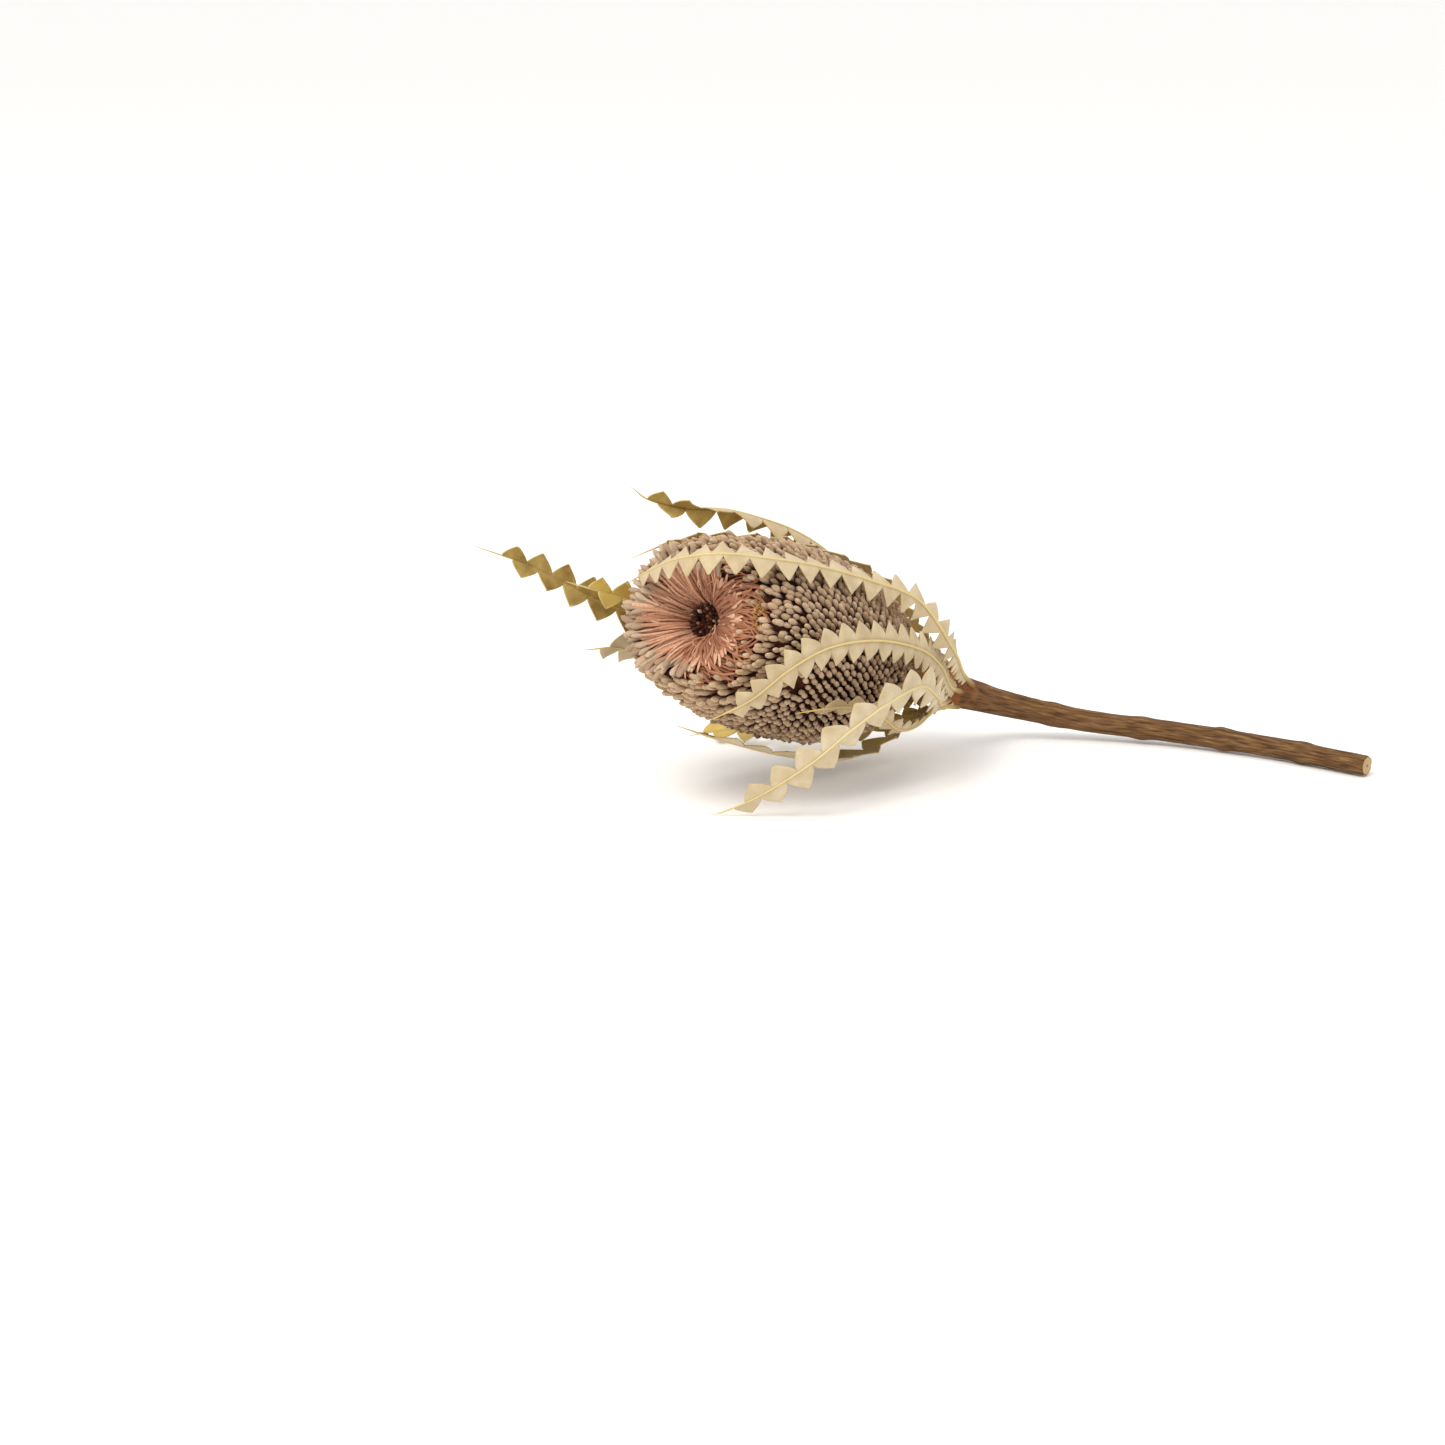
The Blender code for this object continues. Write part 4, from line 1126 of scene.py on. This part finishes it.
# %% Ribs
RIB_STATIONS = 110
RIB_SIDES = 8
RIB_SHARES = [0, 0.025, 0.08, 0.5, 0.95, 1.0]
RIB_RADII = [0.4, 1.4, 0.85, 0.6, 0.38, 0.14]
RIB_LIFT = 0.4              # share of its radius that the rib is raised by


def add_rib(name, route, shade, finish):
    """Rib of a leaf along its route."""
    distance = np.linspace(0.0, route.length, RIB_STATIONS)
    centre, direction, sideways, away = leaf_frame(route, distance)
    share = distance / route.length
    radius = np.interp(share, RIB_SHARES, RIB_RADII)
    line = centre + (RIB_LIFT * radius)[:, None] * away
    rings = rings_round(line[None], radius[None], RIB_SIDES, away[None], squash=0.9)
    shape = rings.shape[:3]
    return make_object(name, rings, loft_faces(1, RIB_STATIONS, RIB_SIDES), [finish],
                       reach=spread(share[None, :, None], shape), shade=spread(shade, shape))


print("stations along a rib:", RIB_STATIONS)

# %% [markdown]
# The felt is a mat of fine pale hair, so it is nearly white cream with a little mottling, and darker on
# some leaves, partly by their own tan and partly by painted shade. Its very margin is thin, hard and yellow.
# The inner side is smooth and leathery, from straw yellow to dark olive, as each leaf's shade says; the
# darkest olive is partly the leaf's own colour and partly painted shade.

# %% Leaf finishes
felt = Finish("leaf_felt", 0.9, sheen=0.25)
cream = felt.ramp(felt.grain(7.0, 4.0), [(0.3, paint(208, 188, 150)), (0.5, paint(220, 202, 166)),
                                        (0.72, paint(232, 218, 186))])
tan = felt.ramp(felt.grain(7.0, 4.0), [(0.3, paint(186, 160, 118)), (0.5, paint(200, 176, 134)),
                                      (0.72, paint(214, 192, 152))])
# each leaf's shade darkens the felt towards tan: partly the leaf's own colour, partly painted shade
shaded = felt.mix(felt.mark("shade"), cream, tan)
veined = felt.mix(felt.ramp(felt.grain(0.9, 3.0), [(0.45, 0.0), (0.8, 0.3)]), shaded, paint(200, 172, 128))
hard_edge = felt.ramp(felt.mark("margin"), [(0.4, 0.0), (1.0, 0.8)])
felt.colour(felt.mix(hard_edge, veined, paint(214, 186, 122)))
felt.relief(felt.grain(0.45, 4.0), 0.2, 0.5)

olive = Finish("leaf_olive", 0.6, sheen=0.05)
straw = olive.ramp(olive.grain(9.0, 4.0), [(0.3, paint(232, 194, 92)), (0.5, paint(246, 210, 108)),
                                          (0.7, paint(250, 222, 130))])
deep = olive.ramp(olive.grain(6.0, 4.0), [(0.3, paint(134, 104, 42)), (0.5, paint(172, 140, 68)),
                                         (0.7, paint(196, 164, 92))])
# each leaf's shade darkens the inner side towards deep olive: partly the leaf's own colour, partly painted
# shade
leathery = olive.mix(olive.mark("shade"), straw, deep)
olive_tone = olive.ramp(olive.mark("tone"), [(0.0, paint(124, 102, 44)), (1.0, paint(226, 202, 126))])
olive_edge = olive.ramp(olive.mark("margin"), [(0.4, 0.0), (1.0, 0.7)])
olive.colour(olive.mix(olive_edge, olive.mix(0.25, leathery, olive_tone), paint(222, 198, 132)))
olive.relief(olive.grain(0.9, 4.0), 0.2, 0.5)
print("leaf finishes:", felt.surface.name, olive.surface.name)

# %% [markdown]
# The ribs are pale yellow, a little worn and stained, and brown at the foot.

# %% Rib finish
rib_yellow = Finish("rib_yellow", 0.55)
rib_tone = rib_yellow.ramp(rib_yellow.mark("reach"), [(0.0, paint(206, 170, 110)),
                                                     (0.13, paint(226, 202, 150)),
                                                     (0.6, paint(238, 222, 170)),
                                                     (1.0, paint(232, 210, 142))])
# the rib follows its leaf's shade, so it carries the same painted shade
rib_shade = rib_yellow.mix(rib_yellow.mark("shade"), rib_tone, paint(222, 194, 124))
rib_stains = rib_yellow.ramp(rib_yellow.grain(3.0), [(0.45, 0.0), (0.8, 0.3)])
rib_worn = rib_yellow.mix(rib_stains, rib_shade, paint(210, 178, 118))
rib_foot = rib_yellow.ramp(rib_yellow.mark("reach"), [(0.02, 1.0), (0.08, 0.0)])
rib_yellow.colour(rib_yellow.mix(rib_foot, rib_worn, paint(142, 92, 50)))
rib_yellow.relief(rib_yellow.grain(0.5), 0.12)
print("rib finish:", rib_yellow.surface.name)

# %% [markdown]
# The eleven leaves. Each is a list of (along, angle, out, roll) on the spike, then the number of lobes
# on a side, the fold in degrees, the shade, and what is not plain about its lobes. All start inside the
# neck, so that no stub stands out of it.

# %% Where the leaves run
FOOT_OUT = 6.0
LEAVES = {
    "leaf_top_front": ([(-46, 66, FOOT_OUT, 0), (-26, 63, 18, -8), (4, 65, 40.5, -20), (26, 46, 46, -24),
                        (54, 43, 47, -10), (84, 42, 45.5, 0), (108, 44, 43.5, 0), (128.5, 40, 36, 0),
                        (135, 12, 21, 0), (132, -48, 19.5, 0), (125, -82, 36, 0)],
                       25, 22, 0.5, {"full": 0.15, "small": (0.0, 0.6)}),
    "leaf_top_back": ([(-40, -12, FOOT_OUT, 0), (-22, -17, 18, 0), (-3, -20, 33, 0), (14, -20, 40.5, 0),
                       (36, -21, 44.5, 0), (60, -27, 45.5, 3), (84, -36, 44.5, 6), (102, -43, 43, 6),
                       (114, -55, 42, 6), (124, -68, 42, 6)], 14, 12, 0.1, {}),
    "leaf_curled_back": ([(-46, -48, FOOT_OUT, 0), (-28, -46, 18, 0), (-8, -44, 34, 0), (10, -40, 45, -10),
                          (28, -36, 52.5, -26), (48, -33, 55.5, -34), (68, -32, 56, -30),
                          (88, -35, 57, 0), (102, -44, 59, 42), (118, -47, 61, 62),
                          (131, -44, 62, 68)], 14, 34, 0.85, {"full": 0.6, "curling": -1.6}),
    "leaf_across_front": ([(-39, 90, FOOT_OUT, 0), (-22, 86, 15, 0), (2, 75, 32, 0), (24, 72, 41, 0),
                           (54, 76, 46.5, 0), (80, 86, 47.5, 0), (96, 102, 46.5, 0),
                           (105, 124, 46, 0), (112, 148, 46, 0)],
                          24, 6, 0.6, {"full": 0.3, "small": (0.0, 0.65), "hook": 0.14, "web": 2.6}),
    "leaf_low_front": ([(-34, 128, FOOT_OUT, 0), (-16, 112, 20, 0), (6, 97, 39, 0), (27, 92, 50, 0),
                        (47, 101, 57, 0), (63, 116, 61, 15), (73, 132, 65.5, 35), (80, 151, 70, 40),
                        (86, 163, 75.5, 30), (90, 169, 79, 15)],
                       16, 8, 0.2, {"full": 0.8, "small": (0.25, 0.5)}),
    "leaf_small_front": ([(-44, 150, FOOT_OUT, 0), (-26, 148, 12, 0), (-8, 140, 25, 0), (14, 127, 37, 0),
                          (38, 114, 44.5, 0), (56, 113, 46.5, 0), (70, 118, 47, 0),
                          (80, 124, 47, 0)], 12, 14, 1.0, {"tall": 0.6}),
    "leaf_tip_low": ([(-44, -163, FOOT_OUT, 0), (-26, -161, 15, 0), (-4, -155, 32, 0), (20, -145, 42, 0),
                      (50, -132, 47.5, 0), (84, -120, 50, 70), (112, -117, 47, 135),
                      (138, -127, 43, 150)], 13, 10, 0.3, {"full": 0.6}),
    "leaf_long_back": ([(-46, -112, FOOT_OUT, 0), (-28, -110, 15, 0), (-6, -107, 31, 0), (16, -105, 43, 0),
                        (50, -102, 50, 0), (90, -98, 53, 0), (124, -95, 55, 0), (156, -89, 57, 0),
                        (189, -87, 58, 0)], 17, 10, 1.0, {}),
    "leaf_short_back": ([(-38, -78, FOOT_OUT, 0), (-20, -77, 17, 0), (0, -78, 33, 0), (20, -80, 42, 0),
                         (55, -86, 46, 0), (90, -90, 46.5, 0), (124, -91, 46.5, 0),
                         (147, -91, 47, 0)], 14, 8, 0.0, {}),
    "leaf_under": ([(-37, 174, FOOT_OUT, 0), (-20, 175, 17, 0), (0, 174, 33, 0), (20, 172, 42, 0),
                    (52, 170, 46.5, 0), (84, 174, 46.5, 0), (104, -176, 45.5, 0)], 10, 10, 0.5, {}),
    "leaf_prop_back": ([(-33, -137, FOOT_OUT, 0), (-18, -134, 20, 0), (-5, -131, 38, 0),
                        (8, -127, 57, 0), (16, -124, 76, 0), (22, -121.5, 92, 0),
                        (27, -121.2, 102.2, 0)], 9, 8, 0.5, {}),
}
print("leaves:", len(LEAVES))

# %% [markdown]
# One loop makes them all. The blade takes the solid's place, and the rib rides beside it.

# %% Make the leaves
for leaf_name, (spots, lobes, fold, shade, form) in LEAVES.items():
    spots = np.array(spots, float)
    centres = place(spots[:, 0], spots[:, 1], spots[:, 2])
    route = Route(np.column_stack([centres, spots[:, 3]]))
    blade = add_blade(leaf_name + "_blade", route, lobes, fold, shade, [felt.surface, olive.surface], rng,
                      **form)
    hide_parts(leaf_name)
    add_rib(leaf_name + "_rib", route, shade, rib_yellow.surface)

# %% [markdown]
# ## The stem
#
# The stem is a knotted twig. Its line is a smooth route through the neck and five points that it lies on,
# and the route carries the radius as one more column.

# %% Stem line
STEM_START = -16.3
STEM_RINGS = 420
neck_points = place(np.array([STEM_START, -28, -40, -52]), 0.0, 0.0)
lying_points = NECK + np.array([(26, 14, -10.6), (58, 14, -17.4), (97, 4, -20.2), (137, -17, -21.2),
                                (174, -46, -21.7)])
stem_radii = [7.4, 7.9, 7.6, 6.9, 5.6, 5.0, 4.7, 4.5, 4.4]
stem_route = Route(np.column_stack([np.vstack([neck_points, lying_points]), stem_radii]))
distance = np.linspace(0, stem_route.length, STEM_RINGS)
stem_line = stem_route.at(distance)
print("stem:", round(stem_route.length, 1), "mm long")

# %% [markdown]
# The skin is a loft with many rings, pushed in and out by noise that is stretched along the stem, so that
# it looks like bark. At the knots it swells, and each knot has scars: a raised ring round a small pit.

# %% Stem skin
STEM_SIDES = 40
KNOTS = [0.34, 0.52, 0.69, 0.86]        # places as shares of the stem's length
KNOT_RISE = 0.55
KNOT_REACH = 4.0
# waves round the stem, their length along it and their height, in millimetres
BARK_LUMPS = [(2.2, 22, 0.26), (7.0, 7, 0.14)]
SCARS = [(0.3, 0.6), (0.36, 2.6), (0.5, 1.2), (0.55, 4.2), (0.68, 0.4), (0.72, 2.2), (0.85, 1.4), (0.9, 5.2)]
SCAR_LENGTH = 1.8
SCAR_TURN = 0.42            # half width round the stem, in radians
SCAR_RISE = 0.75
PIT_DEPTH = 0.7
PIT_SHARPNESS = 3.5
END_ROUNDING = (0.06, 0.8)  # share of the radius, and length in millimetres
SKIN_SHARE = 0.985          # room for the bark's lumps

radius = stem_line[:, 3].copy()
for knot in KNOTS:
    radius += KNOT_RISE * np.exp(-((distance - knot * stem_route.length) / KNOT_REACH) ** 2)
rings = rings_round(stem_line[None, :, :3], np.ones((1, STEM_RINGS)), STEM_SIDES, UPPER[None, None])[0]
ways = rings - stem_line[:, None, :3]
turn = np.arange(STEM_SIDES) * 2 * math.pi / STEM_SIDES
relief = np.zeros((STEM_RINGS, STEM_SIDES))
for waves, length, height in BARK_LUMPS:
    for i, down in enumerate(distance):
        for j, t in enumerate(turn):
            spot = Vector((math.cos(t) * waves, math.sin(t) * waves, down / length))
            relief[i, j] += height * noise.noise(spot)
for share, around in SCARS:
    apart = ((distance[:, None] - share * stem_route.length) / SCAR_LENGTH) ** 2
    apart = apart + (np.angle(np.exp(1j * (turn - around))) / SCAR_TURN) ** 2
    relief += SCAR_RISE * np.exp(-apart) - PIT_DEPTH * np.exp(-PIT_SHARPNESS * apart)
near_end = np.clip(1 - (stem_route.length - distance) / END_ROUNDING[1], 0, 1)
rounded = radius * (1 - END_ROUNDING[0] * near_end)
skin = stem_line[:, None, :3] + ways * (rounded[:, None] * SKIN_SHARE + relief)[..., None]
print("points in the stem's skin:", skin.size // 3)

# %% [markdown]
# The bark is brown with darker cracks along the stem. Marks carry the distance along and the turn round,
# so the grain follows the bends. Near the neck the bark is stained with rust.

# %% Bark finish
bark = Finish("stem_bark", 0.85)
fibre = bark.tree.nodes.new("ShaderNodeTexNoise")
fibre.inputs["Scale"].default_value = 1.0
fibre.inputs["Detail"].default_value = 5.0
fibre_place = bark.tree.nodes.new("ShaderNodeCombineXYZ")
for axis_name, mark_name in zip("XYZ", ("round_x", "round_y", "down")):
    bark.connect(bark.mark(mark_name), fibre_place.inputs[axis_name])
bark.connect(fibre_place.outputs["Vector"], fibre.inputs["Vector"])
barked = bark.ramp(fibre.outputs["Fac"], [(0.3, paint(58, 36, 18)), (0.46, paint(106, 74, 42)),
                                          (0.6, paint(134, 98, 60)), (0.78, paint(168, 132, 88))])
dusty = bark.mix(bark.ramp(bark.grain(6.0, 4.0), [(0.4, 0.0), (0.75, 0.55)]), barked, paint(104, 70, 46))
rusty = bark.calculate("MULTIPLY", bark.ramp(bark.grain(5.0, 3.0, warp=0.6), [(0.46, 0.0), (0.6, 0.9)]),
                       bark.ramp(bark.mark("below"), [(0.0, 1.0), (1.0, 0.0)]))
bark.colour(bark.mix(rusty, dusty, paint(168, 98, 44)))
bark.relief(fibre.outputs["Fac"], 0.5, 0.8)
print("finish:", bark.surface.name)

# %% [markdown]
# The cut end is a flat disc of pale wood with rings, a dark pith and a dark edge. A sine of the distance
# from the middle makes the rings.

# %% Cut wood finish
RING_WAVES = 34.0

wood = Finish("cut_wood", 0.8)
ring_wave = wood.calculate("SINE", wood.calculate("MULTIPLY", wood.mark("disc"), RING_WAVES))
ringed = wood.ramp(ring_wave, [(0.0, paint(214, 182, 138)), (1.0, paint(188, 148, 102))])
pith = wood.ramp(wood.mark("disc"), [(0.1, 1.0), (0.2, 0.0), (0.86, 0.0), (1.0, 0.8)])
wood.colour(wood.mix(pith, ringed, paint(112, 74, 46)))
wood.relief(wood.grain(0.4), 0.25)
print("finish:", wood.surface.name)

# %% [markdown]
# Skin and disc are one mesh. Its rings run down the stem and go on inwards over the cut end, and a point
# closes each end.

# %% Stem piece
RUST_REACH = 45.0           # millimetres from the neck
FIBRE_RUN = 9.0             # millimetres along the stem for a step of the grain
FIBRE_TURN = 5.0
DISC_RINGS = 7
DISC_LUMPS = 19             # waves of the slightly uneven cut
DISC_DEPTH = 0.12

disc_shares = np.linspace(1, 0, DISC_RINGS, endpoint=False)[1:]
tail_centre = stem_line[-1, :3]
tail_way = unit(stem_line[-1, :3] - stem_line[-4, :3])
disc = [tail_centre + share * (skin[-1] - tail_centre) - DISC_DEPTH * math.sin(share * DISC_LUMPS) * tail_way
        for share in disc_shares]
points = np.concatenate([skin.reshape(-1, 3), np.concatenate(disc), tail_centre[None], skin[0].mean(0)[None]])
tail_point, neck_point = len(points) - 2, len(points) - 1
last_ring = STEM_RINGS - 1 + len(disc)
column = np.arange(STEM_SIDES)
following = (column + 1) % STEM_SIDES
faces = []
for low in STEM_SIDES * np.arange(last_ring):
    faces += np.stack([low + column, low + following, low + STEM_SIDES + following,
                       low + STEM_SIDES + column], 1).tolist()
low = STEM_SIDES * last_ring
faces += np.stack([low + column, low + following, np.full(STEM_SIDES, tail_point)], 1).tolist()
faces += np.stack([following, column, np.full(STEM_SIDES, neck_point)], 1).tolist()
bark_faces, wood_faces = STEM_SIDES * (STEM_RINGS - 1), STEM_SIDES * (len(disc) + 1)
which = [0] * bark_faces + [1] * wood_faces + [0] * STEM_SIDES
extra = len(points) - STEM_RINGS * STEM_SIDES
disc_mark = np.concatenate([np.ones(STEM_RINGS * STEM_SIDES), np.repeat(disc_shares, STEM_SIDES), [0.0, 0.0]])
stem = make_object("stem_bark_skin", points, faces, [bark.surface, wood.surface], which,
                   down=np.append(np.repeat(distance / FIBRE_RUN, STEM_SIDES), np.zeros(extra)),
                   below=np.append(np.repeat(distance / RUST_REACH, STEM_SIDES), np.ones(extra)),
                   round_x=np.append(np.tile(np.cos(turn) * FIBRE_TURN, STEM_RINGS), np.zeros(extra)),
                   round_y=np.append(np.tile(np.sin(turn) * FIBRE_TURN, STEM_RINGS), np.zeros(extra)),
                   disc=disc_mark)
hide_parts("stem")

# %% [markdown]
# ## Sizes
#
# The dressed piece has to stay the size of its solids.
